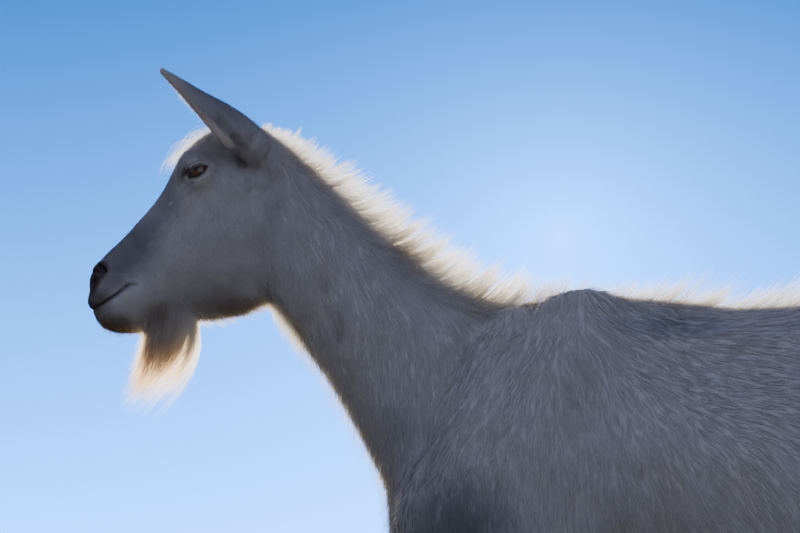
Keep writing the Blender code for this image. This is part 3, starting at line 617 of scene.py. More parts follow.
class Shop:
    """Small helper that adds nodes to one tree and wires them."""

    def __init__(self, tree):
        self.tree = tree

    def feed(self, value, socket):
        """Wires an output to a socket, or sets a plain value on it."""
        if isinstance(value, bpy.types.NodeSocket):
            self.tree.links.new(value, socket)
        else:
            socket.default_value = value

    def add(self, kind, settings=None, **inputs):
        """A new node; each input is given by its name, or by i and its number."""
        node = self.tree.nodes.new("ShaderNode" + kind)
        for key, value in (settings or {}).items():
            setattr(node, key, value)
        for key, value in inputs.items():
            numbered = key[0] == "i" and key[1:].isdigit()
            self.feed(value, node.inputs[int(key[1:]) if numbered else key.replace("_", " ")])
        return node

    def placed(self, tree, **inputs):
        """A node group placed here with its own values."""
        node = self.add("Group", {"node_tree": tree})
        for key, value in inputs.items():
            self.feed(value, node.inputs[key])
        return node

    def maths(self, operation, first, second=0.0):
        return self.add("Math", {"operation": operation}, i0=first, i1=second).outputs[0]

    def vectors(self, operation, first, second):
        """Vector maths; a distance or a dot product comes out as one number."""
        node = self.add("VectorMath", {"operation": operation}, i0=first, i1=second)
        return node.outputs["Value" if operation in ("DISTANCE", "DOT_PRODUCT") else "Vector"]

    def length(self, vector):
        return self.add("VectorMath", {"operation": "LENGTH"}, i0=vector).outputs["Value"]

    def mixed(self, share, first, second, blend="MIX"):
        settings = {"data_type": "RGBA", "blend_type": blend}
        return self.add("Mix", settings, i0=share, i6=first, i7=second).outputs[2]

    def ranged(self, value, low, high, new_low=0.0, new_high=1.0, kind="SMOOTHSTEP"):
        settings = {"interpolation_type": kind}
        node = self.add("MapRange", settings, i0=value, i1=low, i2=high, i3=new_low, i4=new_high)
        return node.outputs[0]

    def noise(self, place, scale, detail=2.0, roughness=0.5):
        node = self.add("TexNoise", i0=place, Scale=scale, Detail=detail, Roughness=roughness)
        return node.outputs[0]

    def attribute(self, name):
        return self.add("Attribute", {"attribute_name": name}).outputs["Fac"]

    def place(self):
        return self.add("TexCoord").outputs["Object"]

    def stretched(self, place, scale):
        return self.add("Mapping", i0=place, Scale=scale).outputs[0]

    def darkened(self, colour, shade):
        """A colour times one number for all three of its parts."""
        grey = self.add("CombineColor", i0=shade, i1=shade, i2=shade).outputs[0]
        return self.mixed(1.0, colour, grey, "MULTIPLY")

    def show(self, shader):
        """Makes a shader the one that the surface or the world shows."""
        output = "World Output" if "World Output" in self.tree.nodes else "Material Output"
        self.tree.links.new(shader, self.tree.nodes[output].inputs["Surface"])


def group(name, inputs, outputs):
    """A shader node group with named sockets, and a shop for its inside."""
    tree = bpy.data.node_groups.new(name, "ShaderNodeTree")
    for title, kind in inputs:
        tree.interface.new_socket(title, in_out="INPUT", socket_type="NodeSocket" + kind)
    for title, kind in outputs:
        tree.interface.new_socket(title, in_out="OUTPUT", socket_type="NodeSocket" + kind)
    return tree, Shop(tree), tree.nodes.new("NodeGroupInput"), tree.nodes.new("NodeGroupOutput")


def patch_group():
    """A soft egg-shaped patch round a place, the same on both sides of the goat."""
    tree, shop, given, result = group(
        "soft_patch",
        [("Place", "Vector"), ("Centre", "Vector"), ("Size", "Vector")],
        [("Mask", "Float")],
    )
    parts = shop.add("SeparateXYZ", i0=given.outputs["Place"]).outputs
    beside = shop.maths("ABSOLUTE", parts[0])
    mirrored = shop.add("CombineXYZ", i0=beside, i1=parts[1], i2=parts[2]).outputs[0]
    away = shop.vectors("SUBTRACT", mirrored, given.outputs["Centre"])
    length = shop.length(shop.vectors("DIVIDE", away, given.outputs["Size"]))
    shop.feed(shop.ranged(length, 0.25, 1.0, 1.0, 0.0), result.inputs["Mask"])
    return tree


WARM_WHITE = (0.80, 0.72, 0.58, 1)  # clouds of it lie over the white
EAR_LINING = (1.0, 0.84, 0.72, 1)
TINT_WANDER = 0.012  # how far the tints' edges wander

# Tints over the white, the same on skin and coat: name, place as (out, back, up), radii, colour
# and strength. Some are the goat's own colour; the ones marked below are painted shade.
TINTS = (
    ("beard", (0.000, -0.430, 0.725), (0.045, 0.060, 0.066), (0.76, 0.62, 0.42), 0.60),
    ("beard tip", (0.000, -0.458, 0.700), (0.040, 0.030, 0.022), (0.70, 0.50, 0.26), 0.60),
    ("beard root", (0.018, -0.429, 0.774), (0.026, 0.020, 0.024), (0.40, 0.25, 0.16), 0.38),
    ("chin", (0.010, -0.472, 0.759), (0.038, 0.032, 0.023), (0.26, 0.19, 0.10), 0.80),
    # painted shade on the side of the nose, which faces away from the lamps
    ("side of the nose", (0.014, -0.460, 0.843), (0.060, 0.050, 0.056), (0.22, 0.22, 0.25), 0.80),
    # partly darker skin showing through and partly painted shade along the bridge of the nose
    ("bridge of the nose", (0.014, -0.428, 0.890), (0.050, 0.036, 0.056), (0.30, 0.31, 0.35), 0.50),
    ("muzzle", (0.016, -0.478, 0.808), (0.042, 0.030, 0.034), (0.26, 0.22, 0.22), 0.62),
    ("lips", (0.010, -0.492, 0.786), (0.036, 0.027, 0.024), (0.08, 0.055, 0.05), 0.88),
    ("under the jaw", (0.004, -0.350, 0.781), (0.050, 0.060, 0.020), (0.42, 0.31, 0.18), 0.65),
    ("tear stain", (0.045, -0.400, 0.917), (0.022, 0.007, 0.010), (0.18, 0.11, 0.09), 0.75),
    ("under the eye", (0.045, -0.393, 0.902), (0.022, 0.012, 0.012), (0.34, 0.30, 0.30), 0.45),
    # painted shade: the backs of the white ears darkened to a shaded blue-grey
    ("ears", (0.058, -0.380, 0.990), (0.075, 0.090, 0.100), (0.33, 0.32, 0.36), 0.72),
    # painted shade in the fold at the ear's root
    ("ear fold", (0.050, -0.342, 0.935), (0.020, 0.010, 0.022), (0.30, 0.25, 0.20), 0.50),
    # painted shade in the dimple of the neck
    ("neck dimple", (0.050, -0.243, 0.759), (0.045, 0.012, 0.032), (0.38, 0.33, 0.28), 0.40),
    # painted shade along the crease at the shoulder's front edge
    ("shoulder's front", (0.080, -0.118, 0.745), (0.070, 0.024, 0.060), (0.42, 0.38, 0.38), 0.45),
    ("crest's side", (0.035, -0.165, 0.850), (0.040, 0.050, 0.030), (0.46, 0.42, 0.42), 0.35),
    # painted shade, blue-grey, low on the neck
    ("neck's foot", (0.075, -0.185, 0.640), (0.100, 0.075, 0.075), (0.44, 0.46, 0.50), 0.22),
    # painted shadow: a dark patch of shade on the breast
    ("breast", (0.060, -0.120, 0.548), (0.200, 0.090, 0.085), (0.13, 0.15, 0.19), 0.66),
    # painted shade in the hollow behind the withers
    ("behind the withers", (0.060, 0.095, 0.765), (0.070, 0.080, 0.026), (0.34, 0.38, 0.46), 0.50),
    ("front knees", (0.075, -0.062, 0.285), (0.040, 0.045, 0.045), (0.70, 0.58, 0.42), 0.45),
    ("hocks", (0.081, 0.585, 0.320), (0.040, 0.050, 0.050), (0.70, 0.58, 0.42), 0.40),
    ("front feet", (0.073, -0.070, 0.050), (0.050, 0.070, 0.060), (0.62, 0.50, 0.36), 0.50),
    ("hind feet", (0.078, 0.535, 0.050), (0.050, 0.070, 0.060), (0.62, 0.50, 0.36), 0.50),
    ("tail root", (0.000, 0.630, 0.650), (0.050, 0.060, 0.080), (0.76, 0.66, 0.48), 0.40),
    ("belly", (0.000, 0.200, 0.400), (0.130, 0.260, 0.050), (0.74, 0.65, 0.50), 0.40),
    ("udder", (0.000, 0.490, 0.400), (0.080, 0.110, 0.085), (0.80, 0.55, 0.47), 0.75),
)


def markings_and_painted_shade_group():
    """The goat's own colours and painted shade by place: white, warmed and darkened where the tints
    say.
    """
    tree, shop, given, result = group("goat_markings_and_painted_shade", [("White", "Color")], [("Color", "Color")])
    place = shop.place()
    cloud = shop.noise(place, 14.0, 3.0, 0.6)
    warmth = shop.ranged(cloud, 0.42, 0.72, 0.0, 0.40)
    colour = shop.mixed(warmth, given.outputs["White"], WARM_WHITE)
    patch = patch_group()
    ragged = shop.add("TexNoise", i0=place, Scale=70.0, Detail=2.0).outputs["Color"]
    settings = {"operation": "MULTIPLY_ADD"}
    wander = shop.add("VectorMath", settings, i0=ragged, i1=(TINT_WANDER,) * 3, i2=place).outputs[0]
    shift = TINT_WANDER / 2
    for _, (out, back, up), size, tint, strength in TINTS:
        centre = (out + shift, back + WITHERS_Y + shift, up + shift)
        mask = shop.placed(patch, Place=wander, Centre=centre, Size=size).outputs["Mask"]
        colour = shop.mixed(shop.maths("MULTIPLY", mask, strength), colour, (*tint, 1))
    inside = shop.maths("MULTIPLY", shop.attribute("ear_inside"), 0.8)
    shop.feed(shop.mixed(inside, colour, EAR_LINING), result.inputs["Color"])
    return tree


def material(name, roughness, **settings):
    """A new material, its shop and its Principled shader with plain values set."""
    made = bpy.data.materials.new(name)
    made.use_nodes = True
    shader = made.node_tree.nodes["Principled BSDF"]
    shader.inputs["Roughness"].default_value = roughness
    for key, value in settings.items():
        shader.inputs[key.replace("_", " ")].default_value = value
    return made, Shop(made.node_tree), shader


def facing_group():
    """The hair's own normal, turned over where a tuft is seen from beneath, to keep it white."""
    tree, shop, _, result = group("hair_facing", [], [("Normal", "Vector")])
    shape = shop.add("NewGeometry")
    own, true = shape.outputs["Normal"], shape.outputs["True Normal"]
    against = shop.maths("MINIMUM", shop.vectors("DOT_PRODUCT", own, true), 0.0)
    twice = shop.maths("MULTIPLY", against, -2.0)
    turned = shop.add("VectorMath", {"operation": "SCALE"}, i0=true, Scale=twice).outputs[0]
    shop.feed(shop.vectors("ADD", own, turned), result.inputs["Normal"])
    return tree


def hair_material(name, white, markings_and_painted_shade, facing, glow, thin):
    """Hair darker at its root, as painted shade among the hairs, and varied from tuft to tuft.

    Glow is the share of light that it lets through, and thin how much of its shadow is left out.
    """
    made, shop, shader = material(name, 0.72, Specular_IOR_Level=0.25)
    base = shop.placed(markings_and_painted_shade, White=(*white, 1)).outputs["Color"]
    by_strand = shop.ranged(shop.attribute("strand"), 0, 1, 0.86, 1.06, "LINEAR")
    # painted shade: each hair darker towards its root
    root_shade = shop.ranged(shop.attribute("tip"), 0, 1, 0.84, 1.02, "LINEAR")
    colour = shop.darkened(base, shop.maths("MULTIPLY", by_strand, root_shade))
    shop.feed(colour, shader.inputs["Base Color"])
    shop.feed(shop.placed(facing).outputs["Normal"], shader.inputs["Normal"])
    true = shop.add("NewGeometry").outputs["True Normal"]
    through = shop.add("BsdfTranslucent", Color=colour, Normal=true).outputs[0]
    both = shop.add("MixShader", i0=glow, i1=shader.outputs[0], i2=through).outputs[0]
    if thin:
        in_shadow = shop.add("LightPath").outputs["Is Shadow Ray"]
        clear = shop.add("BsdfTransparent", Color=(1.0, 0.97, 0.92, 1)).outputs[0]
        shaded = shop.maths("MULTIPLY", in_shadow, thin)
        both = shop.add("MixShader", i0=shaded, i1=both, i2=clear).outputs[0]
    shop.show(both)
    return made


def skin_material(markings_and_painted_shade):
    """Short flat fur over the skin, with dark moist skin where it is bare."""
    made, shop, shader = material("skin_under_coat", 0.75)
    place = shop.place()
    # The skin's white is a little darker than the coat's, as painted shade between the hairs.
    base = shop.placed(markings_and_painted_shade, White=(0.80, 0.77, 0.73, 1)).outputs["Color"]
    fur = shop.noise(shop.stretched(place, (1.0, 1.0, 0.22)), 900.0, 3.0)
    furred = shop.darkened(base, shop.ranged(fur, 0.3, 0.7, 0.78, 0.98, "LINEAR"))
    bare = shop.attribute("bare")
    grain = shop.add("TexVoronoi", i0=place, Scale=700.0).outputs[0]
    dark, light = (0.030, 0.022, 0.022, 1), (0.085, 0.062, 0.058, 1)
    moist = shop.mixed(shop.ranged(grain, 0.0, 0.6), dark, light)
    shop.feed(shop.mixed(bare, furred, moist), shader.inputs["Base Color"])
    shop.feed(shop.ranged(bare, 0, 1, 0.8, 0.52, "LINEAR"), shader.inputs["Roughness"])
    height = shop.add("Mix", {"data_type": "FLOAT"}, i0=bare, i2=fur, i3=grain).outputs[0]
    bump = shop.add("Bump", Strength=0.5, Distance=0.0006, Height=height)
    shop.feed(bump.outputs[0], shader.inputs["Normal"])
    return made


# Rings of the eye outside the iris: where each begins and is full, and its colour.
EYE_RINGS = (
    (0.22, 0.33, (0.020, 0.010, 0.006, 1)),
    (0.345, 0.37, (0.26, 0.20, 0.17, 1)),
)
PUPIL_HALF_SIZE = (0.155, 0.052)  # along and across the slot, on the eye's map


def eye_material():
    """Amber iris with a level, oblong pupil under a clear wet coat, read from the eye's own map."""
    made, shop, shader = material(
        "amber_iris", 0.22, Coat_Weight=1.0, Coat_Roughness=0.02, Coat_IOR=1.38
    )
    uv = shop.add("UVMap", {"uv_map": "eye_map"}).outputs[0]
    centred = shop.vectors("SUBTRACT", uv, (0.5, 0.5, 0))
    around = shop.length(centred)
    across, upright, _ = shop.add("SeparateXYZ", i0=centred).outputs
    turned = shop.maths("MULTIPLY", shop.maths("ARCTAN2", upright, across), 9.0)
    outward = shop.maths("MULTIPLY", around, 14.0)
    rays = shop.noise(shop.add("CombineXYZ", i0=turned, i1=outward).outputs[0], 2.2, 4.0, 0.65)
    brown, amber = (0.085, 0.030, 0.008, 1), (0.30, 0.125, 0.030, 1)
    colour = shop.mixed(shop.ranged(rays, 0.3, 0.7), brown, amber)
    for low, high, ring in EYE_RINGS:
        colour = shop.mixed(shop.ranged(around, low, high), colour, ring)
    sides = []
    for along, half in zip((across, upright), PUPIL_HALF_SIZE):
        share = shop.maths("ABSOLUTE", shop.maths("DIVIDE", along, half))
        sides.append(shop.maths("POWER", share, 3.0))
    pupil = shop.ranged(shop.maths("ADD", *sides), 0.8, 1.15, 1.0, 0.0)
    shop.feed(shop.mixed(pupil, colour, (0.004, 0.004, 0.006, 1)), shader.inputs["Base Color"])
    return made


def plain_material(name, dark, light, roughness, scale, bump=0.3):
    """Two tones of one stuff broken up by noise, with a little relief."""
    made, shop, shader = material(name, roughness)
    noise = shop.noise(shop.place(), scale, 4.0, 0.6)
    colour = shop.mixed(shop.ranged(noise, 0.3, 0.7), (*dark, 1), (*light, 1))
    shop.feed(colour, shader.inputs["Base Color"])
    relief = shop.add("Bump", Strength=bump, Distance=0.0005, Height=noise)
    shop.feed(relief.outputs[0], shader.inputs["Normal"])
    return made


# === the eyes =================================================================================


def make_eye(word, side, stuff):
    """An eyeball with a slightly bulging cornea."""
    centre, radius, _, _, outwards = eye_frame(side)
    eye = ball(centre, (radius,) * 3, segments=64)
    eye.name = "eyeball_" + word
    points = points_of(eye.data)
    local = points - centre
    level = unit(np.array((0, 1, 0)) - outwards * outwards[1])
    plumb = np.cross(outwards, level)
    out = local @ outwards
    turn = np.arccos(np.clip(out / radius, -1, 1))
    bulge = np.exp(-((turn / CORNEA_SPREAD) ** 4)) * CORNEA_RISE
    set_points(eye.data, points + unit(local) * bulge[:, None])
    layer = eye.data.uv_layers[0]
    layer.name = "eye_map"
    u = local @ level / (2 * radius) + 0.5
    v = (local @ plumb - GAZE_RISE) / (2 * radius) + 0.5
    # The eyeball's back shares a plain corner of the map.
    u, v = (np.where(out < 0, 0.5 + (part - 0.5) * 0.2 + 0.4, part) for part in (u, v))
    corners = np.empty(len(eye.data.loops), np.int32)
    eye.data.loops.foreach_get("vertex_index", corners)
    layer.data.foreach_set("uv", np.stack((u, v), axis=1)[corners].astype(np.float32).ravel())
    eye.data.shade_smooth()
    return told(eye, stuff, "amber_eye", "eye_" + word)


def make_lids(word, side, stuff):
    """The thin dark rims of both lids, swept round the opening."""
    centre, radius, back, upwards, outwards = eye_frame(side)
    angles = [2 * math.pi * k / RIM_STEPS for k in range(RIM_STEPS)]
    rows = []
    for angle in angles:
        along = LID_HALF_LENGTH * math.cos(angle)
        upper = math.sin(angle) >= 0
        rise = float(lid_height(np.array(along), np.array(upper))) * (1 if upper else -1)
        out = math.sqrt(radius**2 - along**2 - rise**2) + RIM_STAND
        rows.append(centre + back * along + upwards * rise + outwards * out)
    rows = np.array(rows)
    ahead = unit(np.roll(rows, -1, axis=0) - np.roll(rows, 1, axis=0))
    off = unit(rows - centre)
    across = unit(np.cross(ahead, off))
    mesh = bmesh.new()
    loops = []
    for k, angle in enumerate(angles):
        corner = 0.0004 * max(-math.cos(angle), 0) ** 4
        thick = 0.00055 + 0.00035 * max(math.sin(angle), 0) + corner
        loops.append([
            mesh.verts.new(rows[k] + (across[k] * math.cos(a) * 1.3 + off[k] * math.sin(a)) * thick)
            for a in (2 * math.pi * j / RIM_SIDES for j in range(RIM_SIDES))
        ])
    for k, j in itertools.product(range(RIM_STEPS), range(RIM_SIDES)):
        after, beside = (k + 1) % RIM_STEPS, (j + 1) % RIM_SIDES
        mesh.faces.new((loops[k][j], loops[k][beside], loops[after][beside], loops[after][j]))
    bmesh.ops.recalc_face_normals(mesh, faces=mesh.faces)
    data = bpy.data.meshes.new("lid_rims_" + word)
    mesh.to_mesh(data)
    mesh.free()
    data.shade_smooth()
    lids = bpy.data.objects.new("lid_rims_" + word, data)
    bpy.context.scene.collection.objects.link(lids)
    return told(lids, stuff, "dark_skin")


# === horn =====================================================================================


def horn_material():
    """Grey-brown horn with fine growth rings, paler and more worn at the ground."""
    made, shop, shader = material("grown_horn", 0.48)
    place = shop.place()
    rings = shop.noise(shop.stretched(place, (0.10, 0.10, 1.0)), 420.0, 3.0, 0.6)
    streaks = shop.noise(shop.stretched(place, (1.0, 1.0, 0.12)), 160.0, 3.0)
    dark, light = (0.085, 0.070, 0.055, 1), (0.27, 0.22, 0.16, 1)
    colour = shop.mixed(shop.ranged(streaks, 0.35, 0.68), dark, light)
    colour = shop.mixed(shop.ranged(rings, 0.42, 0.62, 0.0, 0.45), colour, (0.36, 0.30, 0.22, 1))
    height = shop.add("SeparateXYZ", i0=place).outputs[2]
    worn = shop.ranged(height, 0.010, 0.0, 0.0, 0.5)
    shop.feed(shop.mixed(worn, colour, (0.40, 0.36, 0.30, 1)), shader.inputs["Base Color"])
    relief = shop.add("Bump", Strength=0.45, Distance=0.0006, Height=rings)
    shop.feed(relief.outputs[0], shader.inputs["Normal"])
    return made


DEWCLAW_SHIFT = (0.0, -0.006, 0.004)
DEWCLAW_SCALE = (1.20, 0.62, 0.70)  # of the plain solid, so that it stands clear of the skin


def make_horn(stuff):
    """Every claw and dewclaw, its edges rounded as by wear."""
    sharp = {"limit_method": "ANGLE", "angle_limit": math.radians(35)}
    every = itertools.product(("claw", "dewclaw"), ("front", "hind"), SIDES, ("inner", "outer"))
    for kind, row, (word, _), which in every:
        node = f"{kind}_{row}_{word}_{which}"
        horn = copy_of(node, "horn_" + node)
        if kind == "claw":
            applied(horn, "BEVEL", width=0.0022, segments=3, **sharp)
            only(horn)
            bpy.ops.object.shade_smooth_by_angle(angle=math.radians(50))
        else:
            points = points_of(horn.data)
            middle = points.mean(axis=0)
            set_points(horn.data, middle + DEWCLAW_SHIFT + (points - middle) * DEWCLAW_SCALE)
            applied(horn, "BEVEL", width=0.0012, segments=1, **sharp)
            applied(horn, "SUBSURF", levels=2, render_levels=2)
            horn.data.shade_smooth()
        told(horn, stuff, "hoof_horn", node)


# === the coat =================================================================================

# How the hair lies: place in profile, the way it points there, its length, and how many degrees
# it lifts off the skin.
LIE = (
    ((-0.495, 0.825), (-0.50, -0.85), 0.0030, 12),
    ((-0.498, 0.795), (-0.10, -1.00), 0.0028, 14),
    ((-0.480, 0.800), (0.30, -0.95), 0.0032, 14),
    ((-0.485, 0.765), (0.50, -0.85), 0.0040, 22),
    ((-0.450, 0.765), (0.65, -0.75), 0.0060, 24),
    ((-0.470, 0.848), (-0.70, -0.70), 0.0034, 12),
    ((-0.450, 0.870), (-0.68, -0.73), 0.0038, 12),
    ((-0.430, 0.900), (-0.60, -0.80), 0.0042, 13),
    ((-0.415, 0.925), (-0.40, -0.90), 0.0046, 14),
    ((-0.402, 0.945), (-0.30, 0.60), 0.0060, 22),
    ((-0.380, 0.965), (0.60, 0.70), 0.0070, 22),
    ((-0.345, 0.975), (0.95, 0.20), 0.0080, 22),
    ((-0.320, 0.960), (0.90, -0.40), 0.0100, 24),
    ((-0.425, 0.860), (-0.10, -0.99), 0.0048, 13),
    ((-0.455, 0.820), (0.15, -0.98), 0.0042, 13),
    ((-0.395, 0.890), (0.30, -0.95), 0.0050, 13),
    ((-0.375, 0.915), (0.60, -0.80), 0.0050, 13),
    ((-0.350, 0.890), (0.55, -0.83), 0.0065, 14),
    ((-0.385, 0.850), (0.45, -0.89), 0.0065, 14),
    ((-0.345, 0.840), (0.55, -0.83), 0.0085, 15),
    ((-0.410, 0.800), (0.60, -0.80), 0.0070, 16),
    ((-0.370, 0.785), (0.75, -0.66), 0.0095, 24),
    ((-0.335, 0.782), (0.70, -0.72), 0.0120, 26),
    ((-0.310, 0.930), (0.25, -0.97), 0.0100, 15),
    ((-0.305, 0.870), (0.25, -0.97), 0.0120, 15),
    ((-0.270, 0.900), (0.35, -0.94), 0.0140, 16),
    ((-0.230, 0.850), (0.30, -0.95), 0.0155, 16),
    ((-0.300, 0.800), (0.30, -0.95), 0.0130, 20),
    ((-0.255, 0.720), (0.25, -0.97), 0.0130, 22),
    ((-0.215, 0.770), (0.20, -0.98), 0.0155, 15),
    ((-0.160, 0.800), (0.30, -0.95), 0.0165, 15),
    ((-0.200, 0.650), (0.15, -0.99), 0.0140, 18),
    ((-0.140, 0.720), (0.02, -1.00), 0.0165, 15),
    ((-0.080, 0.785), (0.20, -0.98), 0.0165, 15),
    ((-0.170, 0.560), (0.20, -0.98), 0.0160, 20),
    ((-0.110, 0.660), (-0.25, -0.97), 0.0160, 14),
    ((-0.060, 0.735), (-0.25, -0.97), 0.0150, 14),
    ((-0.020, 0.770), (-0.05, -1.00), 0.0150, 14),
    ((-0.050, 0.620), (-0.05, -1.00), 0.0160, 14),
    ((0.010, 0.700), (0.12, -0.99), 0.0160, 14),
    ((0.045, 0.770), (0.75, -0.66), 0.0160, 14),
    ((0.060, 0.640), (0.40, -0.92), 0.0165, 14),
    ((0.080, 0.720), (0.65, -0.76), 0.0165, 14),
    ((0.020, 0.540), (0.20, -0.98), 0.0150, 16),
    ((0.150, 0.765), (0.97, -0.22), 0.0175, 14),
    ((0.160, 0.690), (0.85, -0.52), 0.0175, 14),
    ((0.150, 0.600), (0.70, -0.71), 0.0170, 14),
    ((0.140, 0.500), (0.65, -0.76), 0.0170, 16),
    ((0.150, 0.430), (0.95, -0.30), 0.0190, 22),
    ((0.300, 0.740), (0.95, -0.30), 0.0175, 14),
    ((0.300, 0.620), (0.82, -0.57), 0.0175, 14),
    ((0.300, 0.480), (0.75, -0.66), 0.0175, 16),
    ((0.400, 0.760), (0.95, -0.30), 0.0165, 14),
    ((0.420, 0.650), (0.60, -0.80), 0.0165, 14),
    ((0.500, 0.760), (0.85, -0.52), 0.0165, 14),
    ((0.480, 0.620), (0.45, -0.89), 0.0165, 14),
    ((0.570, 0.700), (0.45, -0.89), 0.0165, 15),
    ((0.600, 0.620), (0.25, -0.97), 0.0170, 18),
    ((0.530, 0.520), (0.35, -0.94), 0.0150, 15),
    ((0.430, 0.500), (0.45, -0.89), 0.0140, 15),
    ((0.540, 0.400), (0.35, -0.94), 0.0110, 15),
    ((0.590, 0.330), (0.10, -0.99), 0.0090, 16),
    ((0.560, 0.240), (0.02, -1.00), 0.0070, 13),
    ((0.550, 0.120), (0.02, -1.00), 0.0080, 18),
    ((0.535, 0.060), (-0.30, -0.95), 0.0065, 16),
    ((-0.060, 0.480), (0.05, -1.00), 0.0120, 15),
    ((-0.055, 0.380), (0.00, -1.00), 0.0090, 14),
    ((-0.060, 0.280), (0.00, -1.00), 0.0070, 13),
    ((-0.058, 0.180), (0.00, -1.00), 0.0060, 13),
    ((-0.058, 0.110), (0.05, -1.00), 0.0075, 18),
    ((-0.078, 0.060), (-0.30, -0.95), 0.0062, 16),
    ((0.460, 0.400), (0.30, -0.95), 0.0050, 20),
)
LIE_BLEND = 0.012  # how far round each place its own lie holds
EAR_COAT = 0.0052  # length of the hair at the ears' roots
SHORT_TUFTS = 240000
TUFTS_IN_PIECE = 47000  # four triangles each
TUFT_THINNEST, TUFT_BREADTH = 0.00035, 0.070  # a least width, and a share of the length more
TUFT_SECTION = ((-1.0, -0.35), (1.0, -0.35), (0.0, 0.9))  # three corners, across and over
TUFT_FLATNESS = 0.45
TUFT_TAPER = 0.6
ROUNDNESS = 0.45  # how far a tuft's shading turns across its width
UNWRAP_REACH = 0.003  # how much of the skin's map one tuft covers
UNWRAP_ANGLE, UNWRAP_MARGIN = 1.15, 0.002
HAIR_SEED = 20


def lie_of_coat(points, normals):
    """The way the hair points, its length and its lift at each place."""
    flat = points[:, 1:] - (WITHERS_Y, 0)
    total = np.zeros(len(points))
    way = np.zeros((len(points), 2))
    length = np.zeros(len(points))
    lift = np.zeros(len(points))
    for place, direction, long, raised in LIE:
        weight = 1 / (np.sum((flat - place) ** 2, axis=1) + LIE_BLEND**2) ** 2
        total += weight
        way += weight[:, None] * unit(direction)
        length += weight * long
        lift += weight * raised
    length, lift = length / total, lift / total
    flow = np.concatenate((np.zeros((len(points), 1)), unit(way)), axis=1)
    share, gap, axis = ear_place(points)
    ear = smooth_step(share, 0.05, 0.25) * (gap < 0.05)
    flow = unit(flow * (1 - ear)[:, None] + axis * ear[:, None])
    length = length * (1 - ear) + EAR_COAT * ear * (1 - 0.35 * np.clip(share, 0, 1))
    flow = flow - normals * dots(flow, normals)[:, None]
    return unit(flow), length, lift


def unwrap(skin):
    """Lays the skin flat on its own map, which the coat's roots also use."""
    only(skin)
    bpy.ops.object.mode_set(mode="EDIT")
    bpy.ops.mesh.select_all(action="SELECT")
    bpy.ops.uv.smart_project(angle_limit=UNWRAP_ANGLE, island_margin=UNWRAP_MARGIN)
    bpy.ops.object.mode_set(mode="OBJECT")
    skin.data.uv_layers[0].name = "skin_unwrap"


class Ground:
    """The skin's triangles, ready to have roots scattered over them."""

    def __init__(self, skin):
        data = skin.data
        data.calc_loop_triangles()
        count = len(data.loop_triangles)
        flat = np.empty(count * 3, np.int32)
        data.loop_triangles.foreach_get("vertices", flat)
        self.corners = flat.reshape(-1, 3)
        loops = np.empty(count * 3, np.int32)
        data.loop_triangles.foreach_get("loops", loops)
        layer = np.empty(len(data.loops) * 2, np.float32)
        data.uv_layers["skin_unwrap"].data.foreach_get("uv", layer)
        self.unwrapped = layer.reshape(-1, 2)[loops.reshape(-1, 3)]
        self.bare = np.empty(len(data.vertices), np.float32)
        data.attributes["bare"].data.foreach_get("value", self.bare)
        self.points = points_of(data)
        self.normals = normals_of(data)
        a, b, c = (self.points[self.corners[:, k]] for k in range(3))
        self.areas = np.linalg.norm(np.cross(b - a, c - a), axis=1) / 2
        self.middles = (a + b + c) / 3
        self.outwards = unit(self.normals[self.corners].mean(axis=1))
        self.back = self.middles[:, 1] - WITHERS_Y

    def scatter(self, count, weights, rng):
        """Even but irregular roots: places, normals and where they lie on the unwrap."""
        sums = np.cumsum(self.areas * weights)
        picks = np.searchsorted(sums, (np.arange(count) + rng.random(count)) / count * sums[-1])
        picks = np.minimum(picks, len(sums) - 1)
        first, second = rng.random(count), rng.random(count)
        folded = first + second > 1
        first[folded], second[folded] = 1 - first[folded], 1 - second[folded]
        shares = np.stack((1 - first - second, first, second), axis=1)
        corners = self.corners[picks]
        places = np.einsum("nk,nkd->nd", shares, self.points[corners])
        normals = unit(np.einsum("nk,nkd->nd", shares, self.normals[corners]))
        spots = np.einsum("nk,nkd->nd", shares, self.unwrapped[picks])
        return places, normals, spots


def spines(roots, ways, bends, lengths, joints):
    """Points along each hair, which leaves its root along ways and bends towards bends."""
    shares = np.linspace(0, 1, joints + 1)
    lines = [roots + (ways * s + bends * s**2) * lengths[:, None] for s in shares]
    return np.stack(lines, axis=1)


